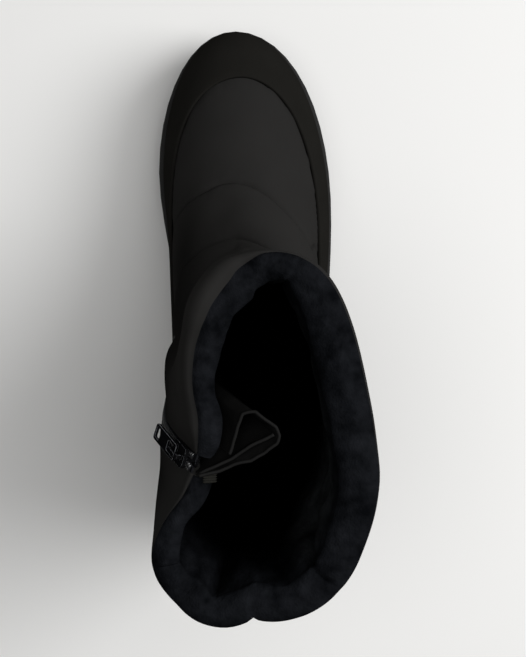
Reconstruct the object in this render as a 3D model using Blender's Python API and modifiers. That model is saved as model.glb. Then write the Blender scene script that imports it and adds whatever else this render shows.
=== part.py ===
"""Right winter boot of a women's size: padded nylon upper with a side zip, rand and rubber unit sole.

Lengths in the tables are millimetres. The design frame has x from the back of the sole (0) to the toe,
y towards the medial side and z up from the floor. One empty moves it to about the middle of the boot's box.
"""

import math

import bmesh
import bpy
import numpy as np
from mathutils import Matrix, Vector

MM = 0.001
GAP = 0.3 * MM

# Where the design frame's zero lies, from about the middle of the boot's box
ORIGIN_X = 134.7 * MM
ORIGIN_Y = 2.4 * MM

# Shares of a loop's length at which its half widths are given, from the back to the front
STATIONS = (0.0, 0.15, 0.42, 0.75, 1.0)

# Sole: outline half widths at the stations, each over the sine of the loop angle
SOLE_LENGTH = 278.0 * MM
SOLE_MEDIAL = (58.0, 48.5, 38.0, 53.0, 61.0)
SOLE_LATERAL = (58.0, 50.0, 47.5, 57.0, 66.0)
SOLE_TIP_SHIFT = 6.5 * MM

# Sole: height of the top and of the tread along the length
SOLE_PROFILE = (
    # x, top, bottom
    (0.0, 34.0, 2.5),
    (12.0, 34.0, 0.0),
    (78.0, 33.0, 0.0),
    (112.0, 30.5, 5.0),
    (146.0, 27.0, 0.0),
    (216.0, 25.0, 0.0),
    (250.0, 27.0, 4.0),
    (278.0, 31.5, 11.0),
)

# Sole: steps of the side wall from the tread to the top edge
SOLE_SIDE = (
    # share of height, inset
    (0.00, 4.4),
    (0.09, 3.0),
    (0.44, 2.2),
    (0.50, 0.8),
    (0.70, 0.5),
    (0.73, 1.5),
    (0.78, 1.5),
    (0.81, 0.2),
    (0.96, 0.0),
    (1.00, 0.9),
)
SOLE_COLUMNS = 28

# Tread grooves between the main lugs, with one along the middle of the ball and of the heel
GROOVE_WIDTH = 5.0 * MM
GROOVE_DEPTH = 4.0 * MM
GROOVE_SKEW = math.radians(9.0)
GROOVE_ROWS = (
    # first x, pitch, count, side of the skew
    (16.0, 15.0, 5, 1.0),
    (153.0, 14.5, 7, -1.0),
)
MIDDLE_GROOVES = (
    # back x, front x, y
    (22.0, 70.0, -1.0),
    (158.0, 214.0, 1.0),
)

# Upper: loops from the feather line over the sole to the collar. Half widths are over the sine of the angle.
SECTION_COLUMNS = (
    "front_x", "front_z", "back_x", "back_z", "back", "rear_med", "rear_lat", "mid_med", "mid_lat",
    "fore_med", "fore_lat", "tip", "tip_shift", "back_shift", "zip_share", "wall",
)
SECTIONS = (
    # front        back          back  rear          mid           fore          tip   shifts     zip    wall
    (273.0, 31.0, 5.0, 34.0, 52.0, 43.5, 44.0, 35.0, 44.5, 49.0, 53.5, 57.5, 6.5, 0.0, 0.38, 3.2),  # feather
    (274.0, 44.0, 1.8, 47.0, 52.0, 47.0, 47.0, 39.5, 42.5, 47.0, 51.0, 58.0, 6.5, 0.0, 0.385, 3.2),  # wall
    (267.0, 57.0, 0.5, 60.0, 50.0, 47.0, 47.0, 41.0, 39.5, 43.0, 44.5, 50.5, 6.5, 0.0, 0.395, 3.4),  # toe top
    (251.0, 67.0, 0.5, 72.0, 49.0, 46.5, 46.5, 41.5, 39.0, 39.5, 40.0, 43.5, 5.5, 0.0, 0.42, 3.6),  # vamp front
    (228.0, 77.0, 2.0, 84.0, 47.0, 46.0, 46.0, 42.0, 39.0, 38.5, 37.5, 39.0, 3.5, 0.0, 0.465, 4.0),  # vamp
    (202.0, 88.5, 4.0, 96.0, 46.0, 45.5, 46.0, 42.5, 39.0, 39.5, 37.0, 36.0, 1.5, 0.0, 0.515, 4.4),  # vamp back
    (178.0, 102.0, 6.0, 108.0, 45.0, 45.5, 46.0, 43.5, 39.5, 41.0, 38.0, 36.0, 0.0, 0.0, 0.565, 5.0),  # instep
    (161.0, 121.0, 7.5, 122.0, 45.0, 46.0, 46.0, 44.5, 40.0, 42.0, 39.0, 37.0, 0.0, 0.0, 0.6, 5.6),  # ankle
    (152.0, 146.0, 7.0, 145.0, 48.0, 48.0, 47.0, 46.3, 41.4, 42.5, 39.5, 38.0, 0.0, 1.0, 0.6, 6.2),  # shin
    (148.0, 180.0, 4.0, 178.0, 56.0, 53.0, 50.7, 47.6, 43.6, 42.5, 39.8, 39.0, 0.0, 3.0, 0.558, 7.0),  # calf
    (146.5, 218.0, -2.0, 216.0, 64.0, 58.4, 54.3, 47.4, 45.6, 42.0, 40.2, 40.0, -0.5, 6.0, 0.498, 8.0),  # bulge
    (147.5, 253.0, -8.5, 250.0, 74.0, 60.0, 55.0, 33.6, 46.2, 38.5, 40.0, 42.0, -1.0, 9.0, 0.432, 9.0),  # collar
    (145.0, 259.0, -6.0, 256.0, 72.0, 58.0, 53.0, 31.0, 44.0, 36.5, 38.0, 41.0, -1.0, 9.0, 0.422, 9.0),  # lip
)
SECTION_STEPS = 2
# The wall stands upright on the sole up to this row
UPRIGHT_ROW = 0.25
FRONT_COLUMNS = 16
BACK_COLUMNS = 12
LATERAL_COLUMNS = 28

# Zip: rows of the section table between which its slot runs, and its widths
ZIP_BOTTOM = 5.0
ZIP_SLOT = 8.0 * MM
ZIP_OPEN_SLOT = 11.0 * MM
ZIP_SLIDER_ROW = 10.72
TAPE_OUTER = -1.6 * MM
TAPE_INNER = -3.0 * MM
TAPE_TAPER = 0.4 * MM
COIL_OUTER = -0.4 * MM
COIL_HALF = 2.6 * MM
TAPE_END_WIDTH = 2.4 * MM

# Rand: how far it climbs the wall from the feather line, at the stations, and its thickness
RAND_FOOT_ROW = 0.1
RAND_MEDIAL = (34.0, 28.0, 24.0, 31.0, 51.0)
RAND_LATERAL = (34.0, 28.0, 29.5, 36.5, 51.0)
RAND_THICK = 1.4 * MM
RAND_FORM_TOP = 4.0
RAND_TRIM_ROWS = 8
RAND_TRIM_DEPTH = 1.5 * MM

# Insole
INSOLE_INSET = 4.6 * MM
INSOLE_THICK = 4.0 * MM

# Gusset: folds of its top edge, inwards from the lining behind the slot and forwards from the slot's middle
GUSSET_FOLDS = (
    # inwards, forwards
    (4.6, 9.0),
    (4.6, 17.5),
    (5.2, 25.0),
    (9.5, 28.0),
    (20.0, 25.0),
    (22.5, 22.0),
    (22.5, 18.5),
    (14.0, 8.5),
    (7.5, 4.5),
    (3.5, -1.0),
)
# Its two edges lie on the lining this far to each side of the slot's middle
GUSSET_EDGE = 8.5 * MM
GUSSET_SEAT = 0.9 * MM
GUSSET_THICK = 1.0 * MM
GUSSET_BOTTOM_DEPTH = 0.10
GUSSET_TOP_ROW = 11.4

# Slider and pull, in the zip's own frame: across, along and out from the surface
PLATE_HALF_WIDTH = 4.4 * MM
PLATE_HALF_LENGTH = 6.4 * MM
PLATE_BOTTOM = 0.9 * MM
PLATE_TOP = 2.6 * MM
BACK_PLATE_HALF_WIDTH = 3.4 * MM
BACK_PLATE_TOP = -3.4 * MM
BACK_PLATE_BOTTOM = -4.8 * MM
POST_HALF_WIDTH = 0.9 * MM
POST_START = 4.0 * MM
BAIL_HALF_LENGTH = 4.6 * MM
BAIL_HALF_WIDTH = 1.0 * MM
BAIL_THICK = 0.9 * MM
BAIL_TOP = 6.3 * MM
PULL_AXIS = 4.0 * MM
PULL_THICK = 1.2 * MM
PULL_HALF_WIDTH = 3.6 * MM
PULL_LENGTH = 23.5 * MM
PULL_EYE_LENGTH = 7.5 * MM
PULL_WINDOW_LENGTH = 4.5 * MM
PULL_BAR = 1.3 * MM
PULL_CORNER = 1.2 * MM


# Clear the scene and make the collections

for old in list(bpy.data.objects):
    bpy.data.objects.remove(old, do_unlink=True)

boot_collection = bpy.data.collections.new("winter_boot")
helper_collection = bpy.data.collections.new("helpers")
helper_collection.hide_render = True
bpy.context.scene.collection.children.link(boot_collection)
bpy.context.scene.collection.children.link(helper_collection)

boot_frame = bpy.data.objects.new("boot_frame", None)
boot_frame.location = (-ORIGIN_X, -ORIGIN_Y, 0.0)
boot_collection.objects.link(boot_frame)


# Helpers for meshes, materials and smooth tables


def add_object(name, mesh, colour, roughness, metallic=0.0):
    material = bpy.data.materials.new(name)
    material.use_nodes = True
    shader = material.node_tree.nodes["Principled BSDF"]
    shader.inputs["Base Color"].default_value = (*colour, 1.0)
    shader.inputs["Roughness"].default_value = roughness
    shader.inputs["Metallic"].default_value = metallic
    mesh.materials.append(material)
    made = bpy.data.objects.new(name, mesh)
    boot_collection.objects.link(made)
    made.parent = boot_frame
    return made


def add_helper(name, mesh):
    """A cutter, or a form that is united with a piece: it isn't rendered."""
    made = bpy.data.objects.new(name, mesh)
    helper_collection.objects.link(made)
    made.parent = boot_frame
    made.display_type = "WIRE"
    made.hide_render = True
    return made


def add_boolean(target, operation, other):
    modifier = target.modifiers.new(other.name, "BOOLEAN")
    modifier.operation = operation
    modifier.solver = "EXACT"
    modifier.object = other


def mesh_of(name, points, faces, smooth=True):
    mesh = bpy.data.meshes.new(name)
    mesh.from_pydata([tuple(point) for point in points], [], faces)
    mesh.update()
    if smooth:
        mesh.polygons.foreach_set("use_smooth", [True] * len(mesh.polygons))
    return mesh


def prism(name, outline, low, high):
    """A flat outline in the first two axes, raised along the third."""
    count = len(outline)
    points = [(a, b, low) for a, b in outline] + [(a, b, high) for a, b in outline]
    faces = [tuple(range(count)), tuple(range(count, 2 * count))]
    for i in range(count):
        j = (i + 1) % count
        faces.append((i, j, count + j, count + i))
    mesh = mesh_of(name, points, faces, smooth=False)
    work = bmesh.new()
    work.from_mesh(mesh)
    bmesh.ops.recalc_face_normals(work, faces=work.faces)
    work.to_mesh(mesh)
    work.free()
    return mesh


def rounded_box(half_width, low, high, corner, steps=3):
    """Outline of a rectangle with round corners, in the first two axes."""
    outline = []
    corners = (
        (half_width - corner, high - corner, 0.0),
        (corner - half_width, high - corner, 0.5 * math.pi),
        (corner - half_width, low + corner, math.pi),
        (half_width - corner, low + corner, 1.5 * math.pi),
    )
    for a, b, start in corners:
        for step in range(steps + 1):
            angle = start + 0.5 * math.pi * step / steps
            outline.append((a + corner * math.cos(angle), b + corner * math.sin(angle)))
    return outline


def smooth_table(xs, ys, x):
    """A smooth curve through a short table, by cubic pieces with slopes from the neighbours."""
    xs = np.asarray(xs, float)
    ys = np.asarray(ys, float)
    steps = np.diff(xs)
    rises = np.diff(ys) / steps
    slopes = np.empty_like(ys)
    slopes[0] = rises[0]
    slopes[-1] = rises[-1]
    slopes[1:-1] = (rises[:-1] * steps[1:] + rises[1:] * steps[:-1]) / (steps[:-1] + steps[1:])
    x = np.clip(np.asarray(x, float), xs[0], xs[-1])
    piece = np.clip(np.searchsorted(xs, x, side="right") - 1, 0, len(xs) - 2)
    step = steps[piece]
    u = (x - xs[piece]) / step
    low = ys[piece] * (1 + 2 * u) * (1 - u) ** 2 + ys[piece + 1] * (3 - 2 * u) * u**2
    return low + step * (slopes[piece] * u * (1 - u) ** 2 - slopes[piece + 1] * (1 - u) * u**2)


# Outsole: outline, profile and side steps


sole_x, sole_top_values, sole_bottom_values = np.array(SOLE_PROFILE).T * MM


def sole_top(x):
    return smooth_table(sole_x, sole_top_values, x)


def sole_bottom(x):
    """The tread line: flat under the heel and the ball, straight between the other rows."""
    return np.interp(x, sole_x, sole_bottom_values)


def sole_outline(angles, inset):
    """Points of the sole's outline in plan, moved in by the inset."""
    share = (1 + np.cos(angles)) / 2
    medial = smooth_table(STATIONS, SOLE_MEDIAL, share) * MM
    lateral = smooth_table(STATIONS, SOLE_LATERAL, share) * MM
    half = np.where(np.sin(angles) >= 0, medial, lateral)
    x = SOLE_LENGTH * share
    y = SOLE_TIP_SHIFT * share**2 + np.sin(angles) * half
    ahead = np.roll(np.stack([x, y], 1), -1, 0)
    behind = np.roll(np.stack([x, y], 1), 1, 0)
    along = ahead - behind
    along /= np.linalg.norm(along, axis=1)[:, None]
    return x - inset * along[:, 1], y + inset * along[:, 0]


def ladder_faces(start, columns, upward):
    """Faces across a loop of 2 * columns points, rung by rung from the front to the back."""
    count = 2 * columns
    faces = []
    for i in range(columns):
        left = (start + i, start + i + 1)
        right = (start + (count - i) % count, start + count - i - 1)
        if left[1] == right[1]:
            corners = (left[0], left[1], right[0])
        elif left[0] == right[0]:
            corners = (left[0], left[1], right[1])
        else:
            corners = (left[0], left[1], right[1], right[0])
        faces.append(corners if upward else corners[::-1])
    return faces


def loop_faces(start, next_start, count):
    faces = []
    for i in range(count):
        j = (i + 1) % count
        faces.append((start + i, start + j, next_start + j, next_start + i))
    return faces


sole_angles = np.linspace(0.0, 2 * math.pi, 2 * SOLE_COLUMNS, endpoint=False)
sole_count = len(sole_angles)
sole_points = []
sole_faces = ladder_faces(0, SOLE_COLUMNS, upward=False)
for level, (share, inset) in enumerate(SOLE_SIDE):
    x, y = sole_outline(sole_angles, inset * MM)
    rim_x, _ = sole_outline(sole_angles, 0.0)
    low = sole_bottom(rim_x)
    high = sole_top(rim_x)
    sole_points.extend(zip(x, y, low + (high - low) * share))
    if level:
        sole_faces += loop_faces((level - 1) * sole_count, level * sole_count, sole_count)
sole_faces += ladder_faces((len(SOLE_SIDE) - 1) * sole_count, SOLE_COLUMNS, upward=True)
outsole_mesh = mesh_of("outsole", sole_points, sole_faces, smooth=False)
outsole = add_object("outsole", outsole_mesh, (0.016, 0.016, 0.016), 0.62)

groove_work = bmesh.new()
for first, pitch, count, side in GROOVE_ROWS:
    for i in range(count):
        x = (first + pitch * i) * MM
        slope = (sole_bottom(x + 2 * MM) - sole_bottom(x - 2 * MM)) / (4 * MM)
        place = Matrix.Translation((x, 0.0, float(sole_bottom(x))))
        turn = Matrix.Rotation(-math.atan(float(slope)), 4, "Y") @ Matrix.Rotation(side * GROOVE_SKEW, 4, "Z")
        size = Matrix.Diagonal((GROOVE_WIDTH, 0.15, 2 * GROOVE_DEPTH, 1.0))
        bmesh.ops.create_cube(groove_work, size=1.0, matrix=place @ turn @ size)
groove_mesh = bpy.data.meshes.new("tread_grooves")
groove_work.to_mesh(groove_mesh)
groove_work.free()
add_boolean(outsole, "DIFFERENCE", add_helper("tread_grooves", groove_mesh))

middle_work = bmesh.new()
for back_x, front_x, y in MIDDLE_GROOVES:
    place = Matrix.Translation((0.5 * (back_x + front_x) * MM, y * MM, 0.0))
    size = Matrix.Diagonal(((front_x - back_x) * MM, GROOVE_WIDTH, 1.6 * GROOVE_DEPTH, 1.0))
    bmesh.ops.create_cube(middle_work, size=1.0, matrix=place @ size)
middle_mesh = bpy.data.meshes.new("middle_grooves")
middle_work.to_mesh(middle_mesh)
middle_work.free()
add_boolean(outsole, "DIFFERENCE", add_helper("middle_grooves", middle_mesh))


# Upper: the last's surface as loops round the foot and leg


section_rows = np.arange(len(SECTIONS), dtype=float)
section = {name: np.array(values) for name, values in zip(SECTION_COLUMNS, zip(*SECTIONS))}
# The feather line lies twice the gap over the sole's top
section["front_z"][0] = (sole_top(section["front_x"][0] * MM) + 2 * GAP) / MM
section["back_z"][0] = (sole_top(section["back_x"][0] * MM) + 2 * GAP) / MM
TOP_ROW = section_rows[-1]


def section_value(name, row):
    return smooth_table(section_rows, section[name], row)


def upper_points(row, angles):
    """Points of the upper's outer face on this row's loop, by angle from the front over the medial side."""
    plan_row = max(row, UPRIGHT_ROW)
    value = {name: float(section_value(name, plan_row)) * MM for name in SECTION_COLUMNS}
    front_z = float(section_value("front_z", row)) * MM
    back_z = float(section_value("back_z", row)) * MM
    share = (1 + np.cos(angles)) / 2
    medial = [value[name] for name in ("back", "rear_med", "mid_med", "fore_med", "tip")]
    lateral = [value[name] for name in ("back", "rear_lat", "mid_lat", "fore_lat", "tip")]
    half = np.where(
        np.sin(angles) >= 0, smooth_table(STATIONS, medial, share), smooth_table(STATIONS, lateral, share)
    )
    x = value["back_x"] + (value["front_x"] - value["back_x"]) * share
    y = value["tip_shift"] * share**2 + value["back_shift"] * (1 - share) ** 2 + np.sin(angles) * half
    z = back_z + (front_z - back_z) * share
    # The low loops follow the sole's top
    follow = max(0.0, 1.0 - row / 3.0)
    ends = sole_top(np.array([value["back_x"], value["front_x"]]))
    z = z + follow * (sole_top(x) - ends[0] - (ends[1] - ends[0]) * share)
    return np.stack([x, y, z], 1)


def zip_angle(row):
    return math.acos(2 * float(section_value("zip_share", row)) - 1)


def zip_speed(row):
    angle = zip_angle(row)
    near = upper_points(row, np.array([angle - 0.01, angle + 0.01]))
    return float(np.linalg.norm(near[1] - near[0])) / 0.02


def slot_width(row):
    opening = np.clip((row - ZIP_SLIDER_ROW) / (TOP_ROW - ZIP_SLIDER_ROW), 0.0, 1.0)
    return ZIP_SLOT + (ZIP_OPEN_SLOT - ZIP_SLOT) * float(opening)


def column_angles(row):
    """Angles of the columns: the zip's slot always lies between the same two of them."""
    middle = zip_angle(row)
    half = 0.5 * slot_width(row) / zip_speed(row)
    front = np.linspace(0.0, middle - half, FRONT_COLUMNS + 1)
    back = np.linspace(middle + half, math.pi, BACK_COLUMNS + 1)
    lateral = np.linspace(math.pi, 2 * math.pi, LATERAL_COLUMNS + 1)[1:-1]
    return np.concatenate([front, back, lateral])


def upper_grid(rows):
    return np.array([upper_points(row, column_angles(row)) for row in rows])


def grid_faces(rows, columns, slot_from=None):
    """Faces between the loops of a grid, facing out, leaving the zip's slot open above a loop."""
    faces = []
    for j in range(rows - 1):
        for i in range(columns):
            if slot_from is not None and i == FRONT_COLUMNS and j >= slot_from:
                continue
            k = (i + 1) % columns
            faces.append((j * columns + i, j * columns + k, (j + 1) * columns + k, (j + 1) * columns + i))
    return faces


upper_rows = np.linspace(0.0, TOP_ROW, SECTION_STEPS * int(TOP_ROW) + 1)
upper_rows = np.sort(np.append(upper_rows, (UPRIGHT_ROW, ZIP_SLIDER_ROW)))
upper_shell = upper_grid(upper_rows)
row_count, column_count, _ = upper_shell.shape
slot_from = int(np.searchsorted(upper_rows, ZIP_BOTTOM))
upper_faces = grid_faces(row_count, column_count, slot_from)
upper_mesh = mesh_of("upper", upper_shell.reshape(-1, 3), upper_faces)
upper = add_object("upper", upper_mesh, (0.024, 0.023, 0.023), 0.55)
thickest = max(section["wall"])
wall_group = upper.vertex_groups.new(name="wall")
for j, row in enumerate(upper_rows):
    share = float(section_value("wall", row)) / thickest
    wall_group.add(list(range(j * column_count, (j + 1) * column_count)), share, "REPLACE")
wall = upper.modifiers.new("wall", "SOLIDIFY")
wall.thickness = thickest * MM
wall.offset = -1.0
wall.vertex_group = "wall"
wall.use_even_offset = True


# Rand: a larger form over the upper's own loops, cut along its top edge


def shell_normals(shell):
    along = np.gradient(shell, axis=0)
    around = np.roll(shell, -1, 1) - np.roll(shell, 1, 1)
    normals = np.cross(around, along)
    return normals / np.linalg.norm(normals, axis=2)[:, :, None]


def rand_top_rows():
    """The row at which the rand ends on each column, from how far it climbs the wall."""
    rows = np.linspace(0.0, RAND_FORM_TOP, 81)
    climb = np.cumsum(np.linalg.norm(np.diff(upper_grid(rows), axis=0), axis=2), axis=0)
    tops = []
    for i, angle in enumerate(column_angles(1.0)):
        share = (1 + math.cos(angle)) / 2
        table = RAND_MEDIAL if math.sin(angle) >= 0 else RAND_LATERAL
        tops.append(np.interp(smooth_table(STATIONS, table, share) * MM, climb[:, i], rows[1:]))
    return np.array(tops)


form_rows = upper_rows[(upper_rows >= UPRIGHT_ROW) & (upper_rows <= RAND_FORM_TOP)]
form_shell = upper_grid(np.insert(form_rows, 0, RAND_FOOT_ROW))
form_points = form_shell + GAP * shell_normals(form_shell)
rand_mesh = mesh_of("rand", form_points.reshape(-1, 3), grid_faces(len(form_points), column_count))
rand = add_object("rand", rand_mesh, (0.012, 0.0115, 0.011), 0.75)
rand_wall = rand.modifiers.new("thickness", "SOLIDIFY")
rand_wall.thickness = RAND_THICK
rand_wall.offset = 1.0
rand_wall.use_even_offset = True

trim_tops = rand_top_rows()
trim_shell = np.empty((RAND_TRIM_ROWS, column_count, 3))
for k in range(RAND_TRIM_ROWS):
    rows = trim_tops + (RAND_FORM_TOP + 0.3 - trim_tops) * k / (RAND_TRIM_ROWS - 1)
    for i, row in enumerate(rows):
        trim_shell[k, i] = upper_points(row, column_angles(row)[i : i + 1])[0]
trim_points = trim_shell - RAND_TRIM_DEPTH * shell_normals(trim_shell)
trim_mesh = mesh_of("rand_trim", trim_points.reshape(-1, 3), grid_faces(RAND_TRIM_ROWS, column_count))
trim = add_helper("rand_trim", trim_mesh)
trim_wall = trim.modifiers.new("thickness", "SOLIDIFY")
trim_wall.thickness = 3 * RAND_TRIM_DEPTH
trim_wall.offset = 1.0
add_boolean(rand, "DIFFERENCE", trim)


# Insole: lies on the sole inside the upper


insole_angles = np.linspace(0.0, 2 * math.pi, 2 * SOLE_COLUMNS, endpoint=False)
feather = upper_points(0.0, insole_angles)
feather_along = np.roll(feather, -1, 0) - np.roll(feather, 1, 0)
feather_along /= np.linalg.norm(feather_along[:, :2], axis=1)[:, None]
insole_x = feather[:, 0] - INSOLE_INSET * feather_along[:, 1]
insole_y = feather[:, 1] + INSOLE_INSET * feather_along[:, 0]
insole_low = np.stack([insole_x, insole_y, sole_top(insole_x) + GAP], 1)
insole_high = insole_low + np.array([0.0, 0.0, INSOLE_THICK])
insole_faces = (
    ladder_faces(0, SOLE_COLUMNS, upward=False)
    + loop_faces(0, sole_count, sole_count)
    + ladder_faces(sole_count, SOLE_COLUMNS, upward=True)
)
insole_mesh = mesh_of("insole", np.concatenate([insole_low, insole_high]), insole_faces, smooth=False)
add_object("insole", insole_mesh, (0.010, 0.010, 0.011), 0.9)


# Zip: frames along its line, then chain, open ends and gusset


def zip_frame(row):
    """Middle of the slot, with unit vectors across (backwards), along (upwards) and out."""
    angle = zip_angle(row)
    step = 0.05
    low = max(row - step, 0.0)
    high = min(row + step, TOP_ROW)
    middle = upper_points(row, np.array([angle]))[0]
    below = upper_points(low, np.array([zip_angle(low)]))[0]
    above = upper_points(high, np.array([zip_angle(high)]))[0]
    edges = upper_points(row, np.array([angle - 0.02, angle + 0.02]))
    along = (above - below) / np.linalg.norm(above - below)
    across = edges[1] - edges[0]
    across -= along * float(across @ along)
    across /= np.linalg.norm(across)
    out = np.cross(across, along)
    # The slot's own chord, so that strips stay between its edges
    half = 0.5 * slot_width(row) / zip_speed(row)
    sides = upper_points(row, np.array([angle - half, angle + half]))
    return 0.5 * (sides[0] + sides[1]), across, along, out


def sweep(name, rows, outline_at, colour, roughness, metallic=0.0):
    """A solid with the same number of outline points at every row, closed at both ends."""
    points = []
    faces = []
    for k, row in enumerate(rows):
        middle, across, along, out = zip_frame(row)
        outline = outline_at(row)[::-1]
        points.extend(middle + a * across + b * out for a, b in outline)
        count = len(outline)
        if k:
            faces += loop_faces((k - 1) * count, k * count, count)
    faces.append(tuple(range(count))[::-1])
    faces.append(tuple(range((len(rows) - 1) * count, len(rows) * count)))
    mesh = mesh_of(name, points, faces, smooth=False)
    return add_object(name, mesh, colour, roughness, metallic)


def chain_outline(row):
    edge = 0.5 * slot_width(row) - GAP
    return (
        (edge - TAPE_TAPER, TAPE_INNER), (edge - 0.5 * TAPE_TAPER, TAPE_OUTER),
        (COIL_HALF, TAPE_OUTER), (0.8 * COIL_HALF, COIL_OUTER),
        (-0.8 * COIL_HALF, COIL_OUTER), (-COIL_HALF, TAPE_OUTER),
        (0.5 * TAPE_TAPER - edge, TAPE_OUTER), (TAPE_TAPER - edge, TAPE_INNER),
    )


def end_outline(side):
    def outline(row):
        edge = 0.5 * slot_width(row) - GAP - TAPE_TAPER
        inner = edge - TAPE_END_WIDTH
        corners = ((inner, TAPE_INNER), (edge, TAPE_INNER), (edge, TAPE_OUTER), (inner, COIL_OUTER))
        if side > 0:
            return corners
        return tuple((-a, b) for a, b in corners[::-1])

    return outline


ZIP_COLOUR = (0.010, 0.010, 0.012)
loop_rows = upper_rows[(upper_rows > ZIP_BOTTOM) & (upper_rows <= ZIP_SLIDER_ROW)]
chain_rows = np.concatenate([[ZIP_BOTTOM + 0.10], loop_rows, [ZIP_SLIDER_ROW + 0.06]])
sweep("zip_chain", chain_rows, chain_outline, ZIP_COLOUR, 0.4)
open_rows = upper_rows[(upper_rows > ZIP_SLIDER_ROW) & (upper_rows < TOP_ROW)]
end_rows = np.concatenate([[ZIP_SLIDER_ROW + 0.08], open_rows, [TOP_ROW - 0.02]])
sweep("zip_end_front", end_rows, end_outline(-1.0), ZIP_COLOUR, 0.4)
sweep("zip_end_back", end_rows, end_outline(1.0), ZIP_COLOUR, 0.4)


def lining_point(row, backwards):
    """A point on the gusset's seat: on the lining, backwards of the slot's middle by this much."""
    angle = zip_angle(row) + backwards / zip_speed(row)
    near = upper_points(row, np.array([angle - 0.02, angle, angle + 0.02]))
    above = upper_points(row + 0.05, np.array([angle]))[0]
    normal = np.cross(near[2] - near[0], above - near[1])
    normal /= np.linalg.norm(normal)
    return near[1] - (float(section_value("wall", row)) * MM + GUSSET_SEAT) * normal


gusset_rows = np.linspace(ZIP_BOTTOM + 0.4, GUSSET_TOP_ROW, 10)
gusset_points = []
for k, row in enumerate(gusset_rows):
    out = zip_frame(row)[3]
    height = k / (len(gusset_rows) - 1)
    depth = GUSSET_BOTTOM_DEPTH + (1 - GUSSET_BOTTOM_DEPTH) * height
    level_in = np.array([-out[0], -out[1], 0.0])
    level_in /= np.linalg.norm(level_in)
    level_forward = np.array([-level_in[1], level_in[0], 0.0])
    front_edge = lining_point(row, -GUSSET_EDGE)
    back_edge = lining_point(row, GUSSET_EDGE)
    middle = 0.5 * (front_edge + back_edge)
    gusset_points.append(front_edge)
    for m, (inwards, forwards) in enumerate(GUSSET_FOLDS):
        across = 0.5 * GUSSET_EDGE * (1 - 2 * m / (len(GUSSET_FOLDS) - 1))
        moved = across + (forwards * MM - across) * depth
        gusset_points.append(middle + inwards * MM * depth * level_in + moved * level_forward)
    gusset_points.append(back_edge)
fold_count = len(GUSSET_FOLDS) + 2
gusset_faces = []
for k in range(len(gusset_rows) - 1):
    for m in range(fold_count - 1):
        a = k * fold_count + m
        gusset_faces.append((a, a + 1, a + fold_count + 1, a + fold_count))
gusset = add_object("gusset", mesh_of("gusset", gusset_points, gusset_faces), (0.020, 0.020, 0.021), 0.6)
gusset_wall = gusset.modifiers.new("thickness", "SOLIDIFY")
gusset_wall.thickness = GUSSET_THICK
gusset_wall.offset = 0.0


# Slider with its bail, and the pull that hangs on it


middle, across, along, out = zip_frame(ZIP_SLIDER_ROW)
slider_frame = Matrix.Identity(4)
slider_frame.col[0].xyz = Vector(across)
slider_frame.col[1].xyz = Vector(along)
slider_frame.col[2].xyz = Vector(out)
slider_frame.translation = Vector(middle)

METAL_COLOUR = (0.014, 0.014, 0.015)
plate = prism(
    "zip_slider",
    rounded_box(PLATE_HALF_WIDTH, -PLATE_HALF_LENGTH, PLATE_HALF_LENGTH, 1.6 * MM),
    PLATE_BOTTOM,
    PLATE_TOP,
)
slider = add_object("zip_slider", plate, METAL_COLOUR, 0.28, 0.7)
slider.matrix_local = slider_frame
back_plate = prism(
    "slider_back_plate",
    rounded_box(BACK_PLATE_HALF_WIDTH, -PLATE_HALF_LENGTH, PLATE_HALF_LENGTH, 1.6 * MM),
    BACK_PLATE_BOTTOM,
    BACK_PLATE_TOP,
)
post = prism(
    "slider_post",
    rounded_box(POST_HALF_WIDTH, POST_START, PLATE_HALF_LENGTH - 0.3 * MM, 0.4 * MM),
    BACK_PLATE_BOTTOM + 0.2 * MM,
    PLATE_TOP - 0.2 * MM,
)
bail_low = PLATE_TOP - 0.2 * MM
bail_shoulder = BAIL_TOP - 1.2 * MM
bail_inner = BAIL_HALF_LENGTH - BAIL_THICK
bail_outline = (
    (BAIL_HALF_LENGTH, bail_low),
    (BAIL_HALF_LENGTH, bail_shoulder),
    (BAIL_HALF_LENGTH - 1.2 * MM, BAIL_TOP),
    (1.2 * MM - BAIL_HALF_LENGTH, BAIL_TOP),
    (-BAIL_HALF_LENGTH, bail_shoulder),
    (-BAIL_HALF_LENGTH, bail_low),
    (-bail_inner, bail_low),
    (-bail_inner, bail_shoulder),
    (0.6 * MM - bail_inner, BAIL_TOP - BAIL_THICK),
    (bail_inner - 0.6 * MM, BAIL_TOP - BAIL_THICK),
    (bail_inner, bail_shoulder),
    (bail_inner, bail_low),
)
bail = prism("slider_bail", bail_outline, -BAIL_HALF_WIDTH, BAIL_HALF_WIDTH)
# The bail's outline is drawn along and out, and raised across
bail.transform(Matrix(((0, 0, 1, 0), (1, 0, 0, 0), (0, 1, 0, 0), (0, 0, 0, 1))))
for helper_mesh in (back_plate, post, bail):
    helper = add_helper(helper_mesh.name, helper_mesh)
    helper.matrix_local = slider_frame
for name in ("slider_post", "slider_back_plate", "slider_bail"):
    add_boolean(slider, "UNION", bpy.data.objects[name])

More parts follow.
